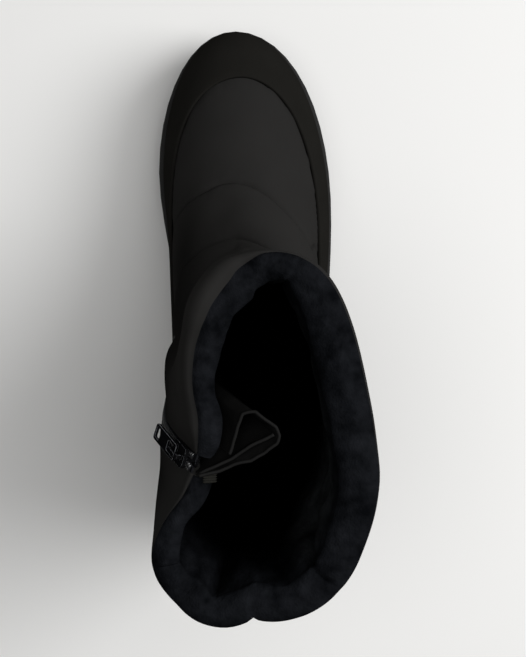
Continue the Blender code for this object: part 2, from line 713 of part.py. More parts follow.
pull_top = 0.5 * PULL_BAR
pull_plate = prism(
    "zip_pull",
    rounded_box(PULL_HALF_WIDTH, pull_top - PULL_LENGTH, pull_top, PULL_CORNER),
    -0.5 * PULL_THICK,
    0.5 * PULL_THICK,
)
pull = add_object("zip_pull", pull_plate, METAL_COLOUR, 0.28, 0.7)
pull_frame = slider_frame @ Matrix.Translation((0.0, 0.0, PULL_AXIS))
pull.matrix_local = pull_frame
window_low = pull_top - PULL_LENGTH + PULL_BAR
window_half = PULL_HALF_WIDTH - PULL_BAR
eye = prism(
    "pull_eye",
    rounded_box(window_half, -0.5 * PULL_BAR - PULL_EYE_LENGTH, -0.5 * PULL_BAR, 0.8 * MM),
    -PULL_THICK,
    PULL_THICK,
)
window = prism(
    "pull_window",
    rounded_box(window_half, window_low, window_low + PULL_WINDOW_LENGTH, 0.6 * MM),
    -PULL_THICK,
    PULL_THICK,
)
for helper_mesh in (eye, window):
    helper = add_helper(helper_mesh.name, helper_mesh)
    helper.matrix_local = pull_frame
    add_boolean(pull, "DIFFERENCE", helper)
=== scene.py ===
"""Looks of the right winter boot: padded nylon, plush lining, rand, rubber sole and side zip."""

import math

import bpy
import numpy as np
from mathutils import Matrix, Vector, kdtree, noise


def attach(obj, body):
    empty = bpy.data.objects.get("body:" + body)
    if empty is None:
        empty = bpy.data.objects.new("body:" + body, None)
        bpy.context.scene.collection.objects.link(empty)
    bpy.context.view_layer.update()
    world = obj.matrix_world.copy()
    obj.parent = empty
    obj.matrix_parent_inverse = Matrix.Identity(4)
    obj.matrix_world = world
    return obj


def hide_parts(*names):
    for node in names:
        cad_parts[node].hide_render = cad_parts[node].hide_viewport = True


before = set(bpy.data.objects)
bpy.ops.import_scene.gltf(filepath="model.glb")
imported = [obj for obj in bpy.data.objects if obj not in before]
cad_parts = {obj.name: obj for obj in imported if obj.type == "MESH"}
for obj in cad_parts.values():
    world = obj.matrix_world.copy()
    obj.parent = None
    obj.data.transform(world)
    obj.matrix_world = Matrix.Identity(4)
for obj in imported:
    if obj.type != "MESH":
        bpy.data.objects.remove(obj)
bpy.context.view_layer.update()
bpy.ops.object.select_all(action="DESELECT")


# Moulded sole
# One moulding of black rubber, cemented under the upper: stepped side wall, toe spring, arch and lugs.
# The mould leaves slightly rounded corners and a fine matte texture.

MM = 0.001
JOIN_DISTANCE = 0.01 * MM
FLAT_DEGREES = 0.5
SOLE_CORNER = 0.45 * MM
SOLE_COLOUR = (0.011, 0.011, 0.0105, 1.0)
# Patterns are given as blotches per metre and finer detail, reliefs as depth and strength
SOLE_GRAIN = (900.0, 2.0)
SOLE_RELIEF = (0.2 * MM, 0.5)
SOLE_DUST = (40.0, 3.0)
SOLE_ROUGHNESS = (0.52, 0.74)


class Shade:
    """A value inside a material. Arithmetic on it adds Math nodes to that material."""

    def __init__(self, finish, socket):
        self.finish = finish
        self.socket = socket

    def math(self, operation, first, second):
        return self.finish.node("ShaderNodeMath", {"operation": operation}, {0: first, 1: second})

    def __add__(self, other):
        return self.math("ADD", self, other)

    def __radd__(self, other):
        return self.math("ADD", other, self)

    def __sub__(self, other):
        return self.math("SUBTRACT", self, other)

    def __mul__(self, other):
        return self.math("MULTIPLY", self, other)

    def __rmul__(self, other):
        return self.math("MULTIPLY", other, self)

    def spread(self, ends):
        """The first end where this value is 0, the second where it is 1."""
        return ends[0] + (ends[1] - ends[0]) * self


class Finish:
    """A material being mixed: node() adds a node, and sockets take constants or what nodes return."""

    def __init__(self, name, constants):
        self.material = bpy.data.materials.new(name)
        self.material.use_nodes = True
        self.tree = self.material.node_tree
        self.shader = self.tree.nodes["Principled BSDF"]
        # Object coordinates, in metres
        self.place = self.node("ShaderNodeTexCoord", {}, {}, output=3)
        for socket, value in constants.items():
            self.feed(self.shader.inputs[socket], value)

    def feed(self, socket, value):
        if isinstance(value, Shade):
            self.tree.links.new(value.socket, socket)
        else:
            socket.default_value = value

    def node(self, kind, settings, inputs, output=0):
        made = self.tree.nodes.new(kind)
        for name, value in settings.items():
            setattr(made, name, value)
        for socket, value in inputs.items():
            self.feed(made.inputs[socket], value)
        return Shade(self, made.outputs[output])

    def cloud(self, pattern, vector=None):
        """Soft noise from 0 to 1."""
        scale, detail = pattern
        inputs = {"Vector": vector or self.place, "Scale": scale, "Detail": detail}
        return self.node("ShaderNodeTexNoise", {}, inputs)

    def along(self, axis):
        """One coordinate: 0 for X, 1 for Y, 2 for Z."""
        return self.node("ShaderNodeSeparateXYZ", {}, {0: self.place}, output=axis)

    def rise(self, value, limits):
        """Softly from 0 at the first limit to 1 at the second."""
        return self.node(
            "ShaderNodeMapRange",
            {"interpolation_type": "SMOOTHSTEP"},
            {"Value": value, "From Min": limits[0], "From Max": limits[1]},
        )

    def mix(self, share, first, second):
        return self.node("ShaderNodeMix", {"data_type": "RGBA"}, {0: share, 6: first, 7: second}, output=2)

    def bump(self, height, relief):
        depth, strength = relief
        return self.node("ShaderNodeBump", {}, {"Height": height, "Distance": depth, "Strength": strength})

    def drive(self, socket, value):
        self.feed(self.shader.inputs[socket], value)


def activate(piece):
    bpy.ops.object.select_all(action="DESELECT")
    piece.select_set(True)
    bpy.context.view_layer.objects.active = piece


def modify(piece, kind, **settings):
    """Adds a modifier with these settings and applies it."""
    activate(piece)
    modifier = piece.modifiers.new(kind.lower(), kind)
    for name, value in settings.items():
        setattr(modifier, name, value)
    bpy.ops.object.modifier_apply(modifier=modifier.name)


def round_corners(piece, width, segments, degrees, **settings):
    """Rounds the edges that turn by more than this."""
    limit = math.radians(degrees)
    modify(
        piece, "BEVEL", width=width, segments=segments, limit_method="ANGLE", angle_limit=limit, **settings
    )


def smooth_below(piece, degrees):
    """Smooth shading over edges that turn by less than this."""
    activate(piece)
    bpy.ops.object.shade_smooth_by_angle(angle=math.radians(degrees))


def new_object(name, data):
    made = bpy.data.objects.new(name, data)
    bpy.context.scene.collection.objects.link(made)
    return made


def copy_of(node, name):
    """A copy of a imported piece, its loose triangles joined and its flat faces made whole again."""
    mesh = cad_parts[node].data.copy()
    mesh.name = name
    mesh.materials.clear()
    piece = new_object(name, mesh)
    activate(piece)
    bpy.ops.object.mode_set(mode="EDIT")
    bpy.ops.mesh.select_all(action="SELECT")
    bpy.ops.mesh.remove_doubles(threshold=JOIN_DISTANCE)
    bpy.ops.mesh.customdata_custom_splitnormals_clear()
    bpy.ops.mesh.dissolve_limited(angle_limit=math.radians(FLAT_DEGREES))
    bpy.ops.object.mode_set(mode="OBJECT")
    return piece


def put_on(piece, body, slot, finish, *nodes):
    """Gives a piece its material and body, and hides the nodes that it stands for. The slot is not used."""
    if finish is not None:
        piece.data.materials.append(finish.material)
    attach(piece, body)
    if nodes:
        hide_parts(*nodes)


sole_rubber = Finish("sole_rubber", {"Base Color": SOLE_COLOUR, "Specular IOR Level": 0.2})
rubber_grain = sole_rubber.cloud(SOLE_GRAIN)
rubber_dust = sole_rubber.cloud(SOLE_DUST)
sole_rubber.drive("Roughness", rubber_dust.spread(SOLE_ROUGHNESS))
sole_rubber.drive("Normal", sole_rubber.bump(rubber_grain, SOLE_RELIEF))

sole = copy_of("outsole", "moulded_sole")
round_corners(sole, SOLE_CORNER, 2, 32.0)
smooth_below(sole, 40.0)
put_on(sole, "boot", "sole_rubber", sole_rubber, "outsole")


# Plush material of the lining and the footbed
# Short black pile on a knitted back, cut with the lining and sewn to the nylon along the collar.
# It lies this way and that, so it shows in soft lighter and darker patches.

PLUSH_DARK = (0.0026, 0.0029, 0.0035, 1.0)
PLUSH_LIGHT = (0.0098, 0.0106, 0.0126, 1.0)
PLUSH_NAP = (85.0, 3.0)
PLUSH_STROKES = (230.0, 3.0)
PLUSH_TUFTS = (1100.0, 2.0)
PLUSH_RELIEF = (1.3 * MM, 0.8)
NAP_CONTRAST = 2.2
STROKE_CONTRAST = 1.2
PATCH_LEVEL = 1.2
TUFT_SHARE = 0.3
# Painted light: inside the boot the lining's outer wall is coloured lighter, and deeper down it goes dark,
# painted shade
PLUSH_LIT_WALL_DARK = (0.021, 0.023, 0.024, 1.0)
PLUSH_LIT_WALL_LIGHT = (0.054, 0.059, 0.062, 1.0)
PLUSH_LIT_WALL_FROM = (0.254, 0.222)
PLUSH_PAINTED_SHADE = (0.0004, 0.0004, 0.0005, 1.0)
PLUSH_SHADE_FROM = (0.238, 0.175)
OUTER_SIDE = (-0.004, -0.030)
SHADE_DEEPER_ON_OUTER_SIDE = 0.085
PILE_HANG = (1.0, 1.0, 0.3)

plush = Finish("plush_pile", {"Roughness": 0.95, "Specular IOR Level": 0.0})
plush_hang = plush.node("ShaderNodeVectorMath", {"operation": "MULTIPLY"}, {0: plush.place, 1: PILE_HANG})
plush_nap = plush.cloud(PLUSH_NAP, plush_hang)
plush_strokes = plush.cloud(PLUSH_STROKES, plush_hang)
plush_tufts = plush.cloud(PLUSH_TUFTS)
plush_height = plush.along(2)
plush_outer_wall = plush.rise(plush.along(1), OUTER_SIDE)
# Painted light: the outer wall inside the boot is coloured lighter
plush_painted_light = plush.rise(plush_height, PLUSH_LIT_WALL_FROM) * plush_outer_wall
# Painted shade: the pile is coloured darker deeper inside the boot, starting lower down on the outer side
plush_painted_shade = plush.rise(plush_height + SHADE_DEEPER_ON_OUTER_SIDE * plush_outer_wall, PLUSH_SHADE_FROM)
plush_patches = plush_nap * NAP_CONTRAST + plush_strokes * STROKE_CONTRAST - PATCH_LEVEL
plush_rim = plush.mix(plush_patches, PLUSH_DARK, PLUSH_LIGHT)
plush_lit_wall = plush.mix(plush_patches, PLUSH_LIT_WALL_DARK, PLUSH_LIT_WALL_LIGHT)
plush_colour_and_light = plush.mix(plush_painted_light, plush_rim, plush_lit_wall)
plush.drive("Base Color", plush.mix(plush_painted_shade, plush_colour_and_light, PLUSH_PAINTED_SHADE))
plush.drive("Normal", plush.bump(plush_tufts * TUFT_SHARE + plush_strokes, PLUSH_RELIEF))


# Footbed
# Loose insole, die-cut from foam that is laminated with the same plush.
# It lies on the sole inside the upper and is not fixed.

FOOTBED_CORNER = 1.2 * MM

footbed = copy_of("insole", "footbed")
round_corners(footbed, FOOTBED_CORNER, 3, 40.0)
smooth_below(footbed, 50.0)
put_on(footbed, "boot", "plush_lining", plush, "insole")


# Padded upper
# Nylon over foam, lasted and quilted: two seams cross the vamp, a third runs round the shaft and one goes
# down the back. The plush lining is turned over the collar's edge, where the nylon shows as a roll at the
# inner front. The zip's slot is on the inner side.

ORIGIN_X = 134.7 * MM
ORIGIN_Y = 2.4 * MM
STATIONS = (0.0, 0.15, 0.42, 0.75, 1.0)
SOLE_TOP = (
    # x, height of the sole's top
    (0.0, 34.0), (12.0, 34.0), (78.0, 33.0), (112.0, 30.5), (146.0, 27.0), (216.0, 25.0), (250.0, 27.0),
    (278.0, 31.5),
)
SECTION_COLUMNS = (
    "front_x", "front_z", "back_x", "back_z", "back", "rear_med", "rear_lat", "mid_med", "mid_lat",
    "fore_med", "fore_lat", "tip", "tip_shift", "back_shift", "zip_share", "wall",
)
SECTIONS = (
    # in the order of the columns above, in mm apart from the zip's share
    (273, 31.6, 5, 34.6, 52, 43.5, 44, 35, 44.5, 49, 53.5, 57.5, 6.5, 0, 0.38, 3.2),  # feather
    (274, 44, 1.8, 47, 52, 47, 47, 39.5, 42.5, 47, 51, 58, 6.5, 0, 0.385, 3.2),  # wall
    (267, 57, 0.5, 60, 50, 47, 47, 41, 39.5, 43, 44.5, 50.5, 6.5, 0, 0.395, 3.4),  # toe top
    (251, 67, 0.5, 72, 49, 46.5, 46.5, 41.5, 39, 39.5, 40, 43.5, 5.5, 0, 0.42, 3.6),  # vamp front
    (228, 77, 2, 84, 47, 46, 46, 42, 39, 38.5, 37.5, 39, 3.5, 0, 0.465, 4),  # vamp
    (202, 88.5, 4, 96, 46, 45.5, 46, 42.5, 39, 39.5, 37, 36, 1.5, 0, 0.515, 4.4),  # vamp back
    (178, 102, 6, 108, 45, 45.5, 46, 43.5, 39.5, 41, 38, 36, 0, 0, 0.565, 5),  # instep
    (161, 121, 7.5, 122, 45, 46, 46, 44.5, 40, 42, 39, 37, 0, 0, 0.6, 5.6),  # ankle
    (152, 146, 7, 145, 48, 48, 47, 46.3, 41.4, 42.5, 39.5, 38, 0, 1, 0.6, 6.2),  # shin
    (148, 180, 4, 178, 56, 53, 50.7, 47.6, 43.6, 42.5, 39.8, 39, 0, 3, 0.558, 7),  # calf
    (146.5, 218, -2, 216, 64, 58.4, 54.3, 47.4, 45.6, 42, 40.2, 40, -0.5, 6, 0.498, 8),  # bulge
    (147.5, 253, -8.5, 250, 74, 60, 55, 33.6, 46.2, 38.5, 40, 42, -1, 9, 0.432, 9),  # collar
    (145, 259, -6, 256, 72, 58, 53, 31, 44, 36.5, 38, 41, -1, 9, 0.422, 9),  # lip
)
UPRIGHT_ROW = 0.25
FOLLOW_ROWS = 3.0
TOP_ROW = 12.0
FINE_COUNT = 601

# Zip slot: rows between which it runs, and its widths
ZIP_BOTTOM = 5.0
ZIP_SLIDER_ROW = 10.72
ZIP_SLOT = 8.0 * MM
ZIP_OPEN_SLOT = 11.0 * MM

# Seams: the row at which each lies, by degrees from the front, towards the inner side above zero
VAMP_SEAM = (
    (-180.0, 0.7), (-112.0, 0.7), (-97.0, 0.85), (-83.0, 2.0), (-67.0, 4.28), (-47.5, 5.33), (-28.0, 5.7),
    (-8.0, 5.7), (9.0, 5.5), (27.5, 5.12), (40.5, 4.73), (56.5, 3.9), (66.0, 3.12), (80.0, 1.5),
    (96.0, 0.85), (112.0, 0.7), (180.0, 0.7),
)
INSTEP_SEAM = (
    (-180.0, 1.3), (-118.0, 1.35), (-97.0, 2.1), (-82.0, 4.1), (-66.0, 5.9), (-47.0, 7.1), (-28.0, 7.7),
    (-10.0, 7.75), (6.0, 7.25), (18.0, 6.85), (31.0, 6.48), (43.0, 6.02), (60.5, 5.25), (73.0, 4.42),
    (86.0, 3.2), (99.0, 1.9), (118.0, 1.35), (180.0, 1.3),
)
SHAFT_SEAM = (
    (-180.0, 8.05), (-90.0, 8.1), (-30.0, 8.45), (0.0, 8.5), (30.0, 8.35), (70.0, 7.75), (95.0, 7.75),
    (180.0, 8.05),
)
RIM_ROW = 11.1
RIM_SLOT_DROP = 0.12
RIM_SLOT_REACH = 11.0 * MM
SEAM_FIRST_ROW = 5.0
SEAM_ROUNDS = 8
SLOT_LINE_BELOW = 0.3
SLOT_LINE_POINTS = 120
LINE_STEP = 0.6 * MM
BAND_ROWS = (44, 30, 34, 60)
BAND_EASE = 0.6
FRONT_COLUMNS = 64
BACK_COLUMNS = 48
LATERAL_COLUMNS = 112
SLOT_CROWDING = 1.3

section_rows = np.arange(len(SECTIONS), dtype=float)
section = {name: np.array(values, float) for name, values in zip(SECTION_COLUMNS, zip(*SECTIONS))}
sole_x, sole_top_values = np.array(SOLE_TOP).T * MM


def smooth_table(xs, ys, x):
    """A smooth curve through a short table, whose values may differ from point to point."""
    shape = np.shape(x)
    xs = np.asarray(xs, float)
    x = np.clip(np.ravel(np.asarray(x, float)), xs[0], xs[-1])
    ys = np.asarray(ys, float)
    if ys.ndim == 1:
        ys = np.repeat(ys[:, None], len(x), 1)
    steps = np.diff(xs)[:, None]
    rises = np.diff(ys, axis=0) / steps
    slopes = np.empty_like(ys)
    slopes[0] = rises[0]
    slopes[-1] = rises[-1]
    slopes[1:-1] = (rises[:-1] * steps[1:] + rises[1:] * steps[:-1]) / (steps[:-1] + steps[1:])
    piece = np.clip(np.searchsorted(xs, x, side="right") - 1, 0, len(xs) - 2)
    point = np.arange(len(x))
    step = steps[piece, 0]
    u = (x - xs[piece]) / step
    level = ys[piece, point] * (1 + 2 * u) * (1 - u) ** 2 + ys[piece + 1, point] * (3 - 2 * u) * u**2
    turn = slopes[piece, point] * u * (1 - u) ** 2 - slopes[piece + 1, point] * (1 - u) * u**2
    return (level + step * turn).reshape(shape)


def by_degrees(table, degrees):
    """A smooth curve through a table of values by degrees."""
    marks, values = np.array(table).T
    return smooth_table(marks, values, degrees)


def section_value(name, rows):
    return smooth_table(section_rows, section[name], rows)


def sole_top(x):
    return smooth_table(sole_x, sole_top_values, x)


def last_surface(rows, angles):
    """Points of the upper's outer face, by row and by angle from the front over the inner side."""
    rows, angles = np.broadcast_arrays(np.asarray(rows, float), np.asarray(angles, float))
    shape = rows.shape
    rows = rows.ravel()
    angles = angles.ravel()
    level = np.maximum(rows, UPRIGHT_ROW)
    size = {name: section_value(name, level) * MM for name in SECTION_COLUMNS}
    share = (1 + np.cos(angles)) / 2
    medial = [size[name] for name in ("back", "rear_med", "mid_med", "fore_med", "tip")]
    lateral = [size[name] for name in ("back", "rear_lat", "mid_lat", "fore_lat", "tip")]
    inner_half = smooth_table(STATIONS, medial, share)
    outer_half = smooth_table(STATIONS, lateral, share)
    half = np.where(np.sin(angles) >= 0, inner_half, outer_half)
    x = size["back_x"] + (size["front_x"] - size["back_x"]) * share
    y = size["tip_shift"] * share**2 + size["back_shift"] * (1 - share) ** 2 + np.sin(angles) * half
    front_z = section_value("front_z", rows) * MM
    back_z = section_value("back_z", rows) * MM
    # The low loops follow the sole's top
    follow = np.maximum(0.0, 1.0 - rows / FOLLOW_ROWS)
    back_top = sole_top(size["back_x"])
    front_top = sole_top(size["front_x"])
    bend = sole_top(x) - back_top - (front_top - back_top) * share
    z = back_z + (front_z - back_z) * share + follow * bend
    return np.stack([x - ORIGIN_X, y - ORIGIN_Y, z], -1).reshape(*shape, 3)


def zip_angle(rows):
    return np.arccos(2 * section_value("zip_share", rows) - 1)


def slot_width(rows):
    opening = np.clip((rows - ZIP_SLIDER_ROW) / (TOP_ROW - ZIP_SLIDER_ROW), 0.0, 1.0)
    return ZIP_SLOT + (ZIP_OPEN_SLOT - ZIP_SLOT) * opening


def slot_angle(rows):
    """Half the angle that the slot takes up on its loop."""
    middle = zip_angle(rows)
    step = 0.01
    ends = last_surface(rows, middle + step) - last_surface(rows, middle - step)
    return 0.5 * slot_width(rows) * 2 * step / np.linalg.norm(ends, axis=-1)


fine_rows = np.linspace(0.0, TOP_ROW, FINE_COUNT)
fine_zip = zip_angle(fine_rows)
fine_slot = slot_angle(fine_rows)
front_steps = 1 - (1 - np.arange(FRONT_COLUMNS + 1) / FRONT_COLUMNS) ** SLOT_CROWDING
back_steps = (np.arange(BACK_COLUMNS + 1) / BACK_COLUMNS) ** SLOT_CROWDING
lateral_steps = np.arange(1, LATERAL_COLUMNS) / LATERAL_COLUMNS
column_count = len(front_steps) + len(back_steps) + len(lateral_steps)
front_part = np.concatenate([front_steps, 0 * back_steps, 0 * lateral_steps])
back_part = np.concatenate([0 * front_steps, 1 - back_steps, 0 * lateral_steps])
turn_part = np.concatenate([0 * front_steps, back_steps, 1 + lateral_steps])


def column_angles(rows):
    """Angles of the columns at these rows: the slot always lies between the same two columns."""
    middle = np.interp(rows, fine_rows, fine_zip)
    half = np.interp(rows, fine_rows, fine_slot)
    return front_part * (middle - half) + back_part * (middle + half) + turn_part * math.pi


def column_points(rows):
    return last_surface(rows, column_angles(rows))


def degrees_of(angles):
    """Degrees from the front, from -180 to 180."""
    degrees = np.degrees(angles)
    return np.where(degrees > 180.0, degrees - 360.0, degrees)


def rows_of_seam(seam):
    """The row of a seam on each column."""
    rows = np.full(column_count, SEAM_FIRST_ROW)
    for _ in range(SEAM_ROUNDS):
        rows = by_degrees(seam, degrees_of(column_angles(rows)))
    return rows


def unit(vectors):
    return vectors / np.linalg.norm(vectors, axis=-1)[..., None]


def shell_normals(shell):
    around = np.roll(shell, -1, 1) - np.roll(shell, 1, 1)
    return unit(np.cross(around, np.gradient(shell, axis=0)))


def lumps(points, size, seed):
    """Smooth unevenness from -1 to 1, with lumps of about this size."""
    flat = points.reshape(-1, 3) / size + seed
    return np.array([noise.noise(Vector(p)) for p in flat]).reshape(points.shape[:-1])


def unevenness(points, waves):
    """The sum of rows that each give a height, the size of the lumps and a seed."""
    return sum(height * MM * lumps(points, size * MM, seed) for height, size, seed in waves)


def bell(distance, half_width):
    """1 at no distance, falling off softly on both sides."""
    return np.exp(-((distance / half_width) ** 2))


def run_along(points):
    """Distance from the first point along a line, or along several lines side by side."""
    steps = np.linalg.norm(np.diff(points, axis=0), axis=-1)
    return np.concatenate([0 * steps[:1], np.cumsum(steps, axis=0)])


def evenly(line, step):
    """Points along a line, about this far apart."""
    marks = run_along(line)
    places = np.linspace(0.0, marks[-1], max(2, int(marks[-1] / step)))
    return np.stack([np.interp(places, marks, line[:, k]) for k in range(3)], 1)


def distance_to(points, line):
    """Distance of each point to a line."""
    dense = evenly(line, LINE_STEP)
    tree = kdtree.KDTree(len(dense))
    for n, point in enumerate(dense):
        tree.insert(point, n)
    tree.balance()
    flat = points.reshape(-1, 3)
    return np.array([tree.find(p)[2] for p in flat]).reshape(points.shape[:-1])


def between(low, high, value):
    """Rises smoothly from 0 at low to 1 at high."""
    t = np.clip((value - low) / (high - low), 0.0, 1.0)
    return t * t * (3 - 2 * t)


def degrees_apart(degrees, other):
    return (degrees - other + 180.0) % 360.0 - 180.0


def slot_lines(rows):
    """The slot's front and back edges."""
    middle = np.interp(rows, fine_rows, fine_zip)
    half = np.interp(rows, fine_rows, fine_slot)
    return last_surface(rows, middle - half), last_surface(rows, middle + half)


# The net of rows and columns follows the seams, and closes up beside them
vamp_rows = rows_of_seam(VAMP_SEAM)
instep_rows = rows_of_seam(INSTEP_SEAM)
shaft_rows = rows_of_seam(SHAFT_SEAM)
rim_loop = column_points(RIM_ROW)
slot_line_rows = np.linspace(ZIP_BOTTOM - SLOT_LINE_BELOW, RIM_ROW, SLOT_LINE_POINTS)
slot_front, slot_back = slot_lines(slot_line_rows)
rim_slot_gap = np.minimum(
    np.linalg.norm(rim_loop - slot_front[-1], axis=1), np.linalg.norm(rim_loop - slot_back[-1], axis=1)
)
rim_rows = RIM_ROW - RIM_SLOT_DROP * (1 - between(0.0, RIM_SLOT_REACH, rim_slot_gap))
anchors = (np.zeros(column_count), vamp_rows, instep_rows, shaft_rows, rim_rows)
shell_rows = [anchors[0][None, :]]
for low, high, count in zip(anchors[:-1], anchors[1:], BAND_ROWS):
    t = np.arange(1, count + 1) / count
    t = t - BAND_EASE * np.sin(2 * math.pi * t) / (2 * math.pi)
    shell_rows.append(low + (high - low) * t[:, None])
shell_rows = np.concatenate(shell_rows)
shell_angles = column_angles(shell_rows)
shell_degrees = degrees_of(shell_angles)
shell = last_surface(shell_rows, shell_angles)
normals = shell_normals(shell)
row_count = len(shell_rows)
slot_from = int(np.argmax(shell_rows[:, FRONT_COLUMNS] >= ZIP_BOTTOM))
slot_from -= slot_from % 2

# Rand's top edge, by how far it climbs from the feather line at the stations
RAND_MEDIAL = (34.0, 28.0, 24.0, 31.0, 51.0)
RAND_LATERAL = (34.0, 28.0, 29.5, 36.5, 51.0)
CLIMB_TOP_ROW = 4.0
CLIMB_POINTS = 81
climb_rows = np.linspace(0.0, CLIMB_TOP_ROW, CLIMB_POINTS)
climb_shell = column_points(climb_rows[:, None])
climbs = run_along(climb_shell)
rand_angles = column_angles(1.0)
rand_shares = (1 + np.cos(rand_angles)) / 2
rand_climbs = np.where(
    np.sin(rand_angles) >= 0,
    smooth_table(STATIONS, RAND_MEDIAL, rand_shares),
    smooth_table(STATIONS, RAND_LATERAL, rand_shares),
)
rand_rows = np.array(
    [np.interp(rand_climbs[i] * MM, climbs[1:, i], climb_rows[1:]) for i in range(column_count)]
)

# Quilting: a sharp crease on each line of stitches, in a soft trough
QUILTING = (
    # line, crease, its reach, trough, its reach
    ("vamp", 1.2, 0.7, 0.8, 4.0),
    ("instep", 1.2, 0.7, 1.0, 5.0),
    ("shaft", 0.9, 0.9, 1.5, 7.0),
    ("back", 0.8, 0.8, 0.6, 5.0),
    ("rand", 0.3, 0.6, 0.1, 3.0),
    ("slot_front", 0.0, 1.0, 0.8, 4.0),
    ("slot_back", 0.0, 1.0, 0.8, 4.0),
)
STITCH_ROUND = 0.25 * MM
BACK_SEAM_FROM = 1.5
BACK_SEAM_POINTS = 160
line_of = {
    "vamp": column_points(vamp_rows),
    "instep": column_points(instep_rows),
    "shaft": column_points(shaft_rows),
    "back": last_surface(np.linspace(BACK_SEAM_FROM, RIM_ROW, BACK_SEAM_POINTS), math.pi),
    "rand": column_points(rand_rows),
    "slot_front": slot_front,
    "slot_back": slot_back,
}
lift = np.zeros(shell.shape[:2])
seam_gap = np.full(shell.shape[:2], np.inf)
gap_of = {}
for name, crease, crease_reach, trough, trough_reach in QUILTING:
    gap = distance_to(shell, line_of[name])
    gap_of[name] = gap
    seam_gap = np.minimum(seam_gap, gap)
    soft_gap = np.sqrt(gap**2 + STITCH_ROUND**2) - STITCH_ROUND
    lift -= crease * MM * np.exp(-soft_gap / (crease_reach * MM))
    lift -= trough * MM * np.exp(-soft_gap / (trough_reach * MM))
slot_gap = np.minimum(gap_of["slot_front"], gap_of["slot_back"])

# Pads: where the foam swells, by row and degrees
PADS = (
    # row, degrees, rows each way, degrees each way, height
    (9.3, 69.0, 0.9, 12.0, 5.0),
    (10.1, 106.0, 0.7, 14.0, -1.6),
    (9.7, 10.0, 1.0, 30.0, 0.9),
    (9.6, -80.0, 1.1, 55.0, 1.0),
    (9.6, 165.0, 1.0, 28.0, 0.8),
    (6.4, 105.0, 1.2, 30.0, 1.2),
    (6.4, -110.0, 1.2, 40.0, 1.2),
    (6.3, 0.0, 0.7, 45.0, 0.9),
    (3.9, 0.0, 1.3, 60.0, 0.6),
)
PAD_CLEAR = 12.0 * MM
for row, degrees, row_reach, degree_reach, height in PADS:
    pad = bell(shell_rows - row, row_reach) * bell(degrees_apart(shell_degrees, degrees), degree_reach)
    lift += height * MM * pad * between(0.0, PAD_CLEAR, seam_gap)

# Creases, each a straight run on the last: troughs below zero, ridges above
CREASES = (
    # first row and degrees, last row and degrees, height, half width
    (6.45, 56.0, 7.3, 20.0, -1.5, 3.5),
    (7.0, 58.0, 7.9, 14.0, 1.3, 4.5),
    (6.3, 76.0, 7.1, 62.0, -1.7, 4.0),
    (8.55, 72.0, 9.3, 50.0, -2.0, 4.0),
    (9.3, 50.0, 10.5, 40.0, -0.9, 6.0),
    (8.8, 30.0, 9.5, 4.0, -0.8, 6.0),
    (7.5, -30.0, 6.5, -80.0, -1.1, 4.5),
    (6.9, -42.0, 5.9, -84.0, 0.8, 5.0),
    (7.2, 130.0, 7.0, 176.0, -1.1, 5.0),
    (7.0, -178.0, 7.3, -125.0, -1.1, 5.0),
    (9.2, -150.0, 9.6, -95.0, -0.7, 7.0),
    (10.1, 26.0, 10.1, 64.0, -3.4, 7.0),
    (10.8, 26.0, 10.75, 74.0, 1.2, 5.0),
    (9.0, 60.0, 9.6, 78.0, -0.6, 5.0),
    (10.6, 112.0, 9.6, 104.0, -0.9, 5.0),
)
CREASE_POINTS = 60
for row_a, degrees_a, row_b, degrees_b, height, half_width in CREASES:
    run = np.linspace(0.0, 1.0, CREASE_POINTS)
    rows = row_a + (row_b - row_a) * run
    line = last_surface(rows, np.radians(degrees_a + (degrees_b - degrees_a) * run))
    lift += height * MM * bell(distance_to(shell, line), half_width * MM)

# Fine puckers beside the stitches, and the unevenness of the padding: height, size of the lumps, seed
PUCKERS = ((0.3, 5.0, 3.7),)
PUCKER_REACH = 5.0 * MM
PADDING_WAVES = ((0.5, 24.0, 11.3),)
PADDING_FROM = (3.0 * MM, 12.0 * MM)
FLAT_UNDER_RAND = -0.9 * MM
lift += np.exp(-seam_gap / PUCKER_REACH) * unevenness(shell, PUCKERS)
lift += between(*PADDING_FROM, seam_gap) * unevenness(shell, PADDING_WAVES)
lift = np.where(shell_rows < rand_rows[None, :], FLAT_UNDER_RAND, lift)

# Beside the zip the cloth is sewn to the tape, so the troughs end there
LEAST_BESIDE_ZIP = -0.7 * MM
BESIDE_ZIP = (7.0 * MM, 2.5 * MM)
lift += (np.maximum(lift, LEAST_BESIDE_ZIP) - lift) * between(*BESIDE_ZIP, slot_gap)

# The collar's edge leaves the smooth oval here and there
RIM_PUSH = (
    # degrees, outwards
    (-180.0, -0.8), (-174.0, 0.2), (-164.0, 0.4), (-146.0, 0.0), (-130.0, 2.0), (-118.0, 2.9),
    (-104.0, 1.8), (-90.0, 0.6), (-53.0, 0.1), (-27.0, 0.8), (7.0, 0.9), (20.0, 3.8), (28.0, 6.4),
    (36.0, 7.5), (47.0, 7.5), (58.0, 5.4), (76.0, 4.3), (86.0, 2.8), (93.0, 0.6), (106.0, 0.0),
    (118.0, 1.5), (128.0, 2.3), (148.0, 0.9), (167.0, 3.4), (174.0, 2.0), (180.0, -0.8),
)
RIM_PUSH_ROWS = (9.6, 10.9)
rim_push = by_degrees(RIM_PUSH, shell_degrees) * MM
rim_share = between(*RIM_PUSH_ROWS, shell_rows)
lift += rim_push * rim_share

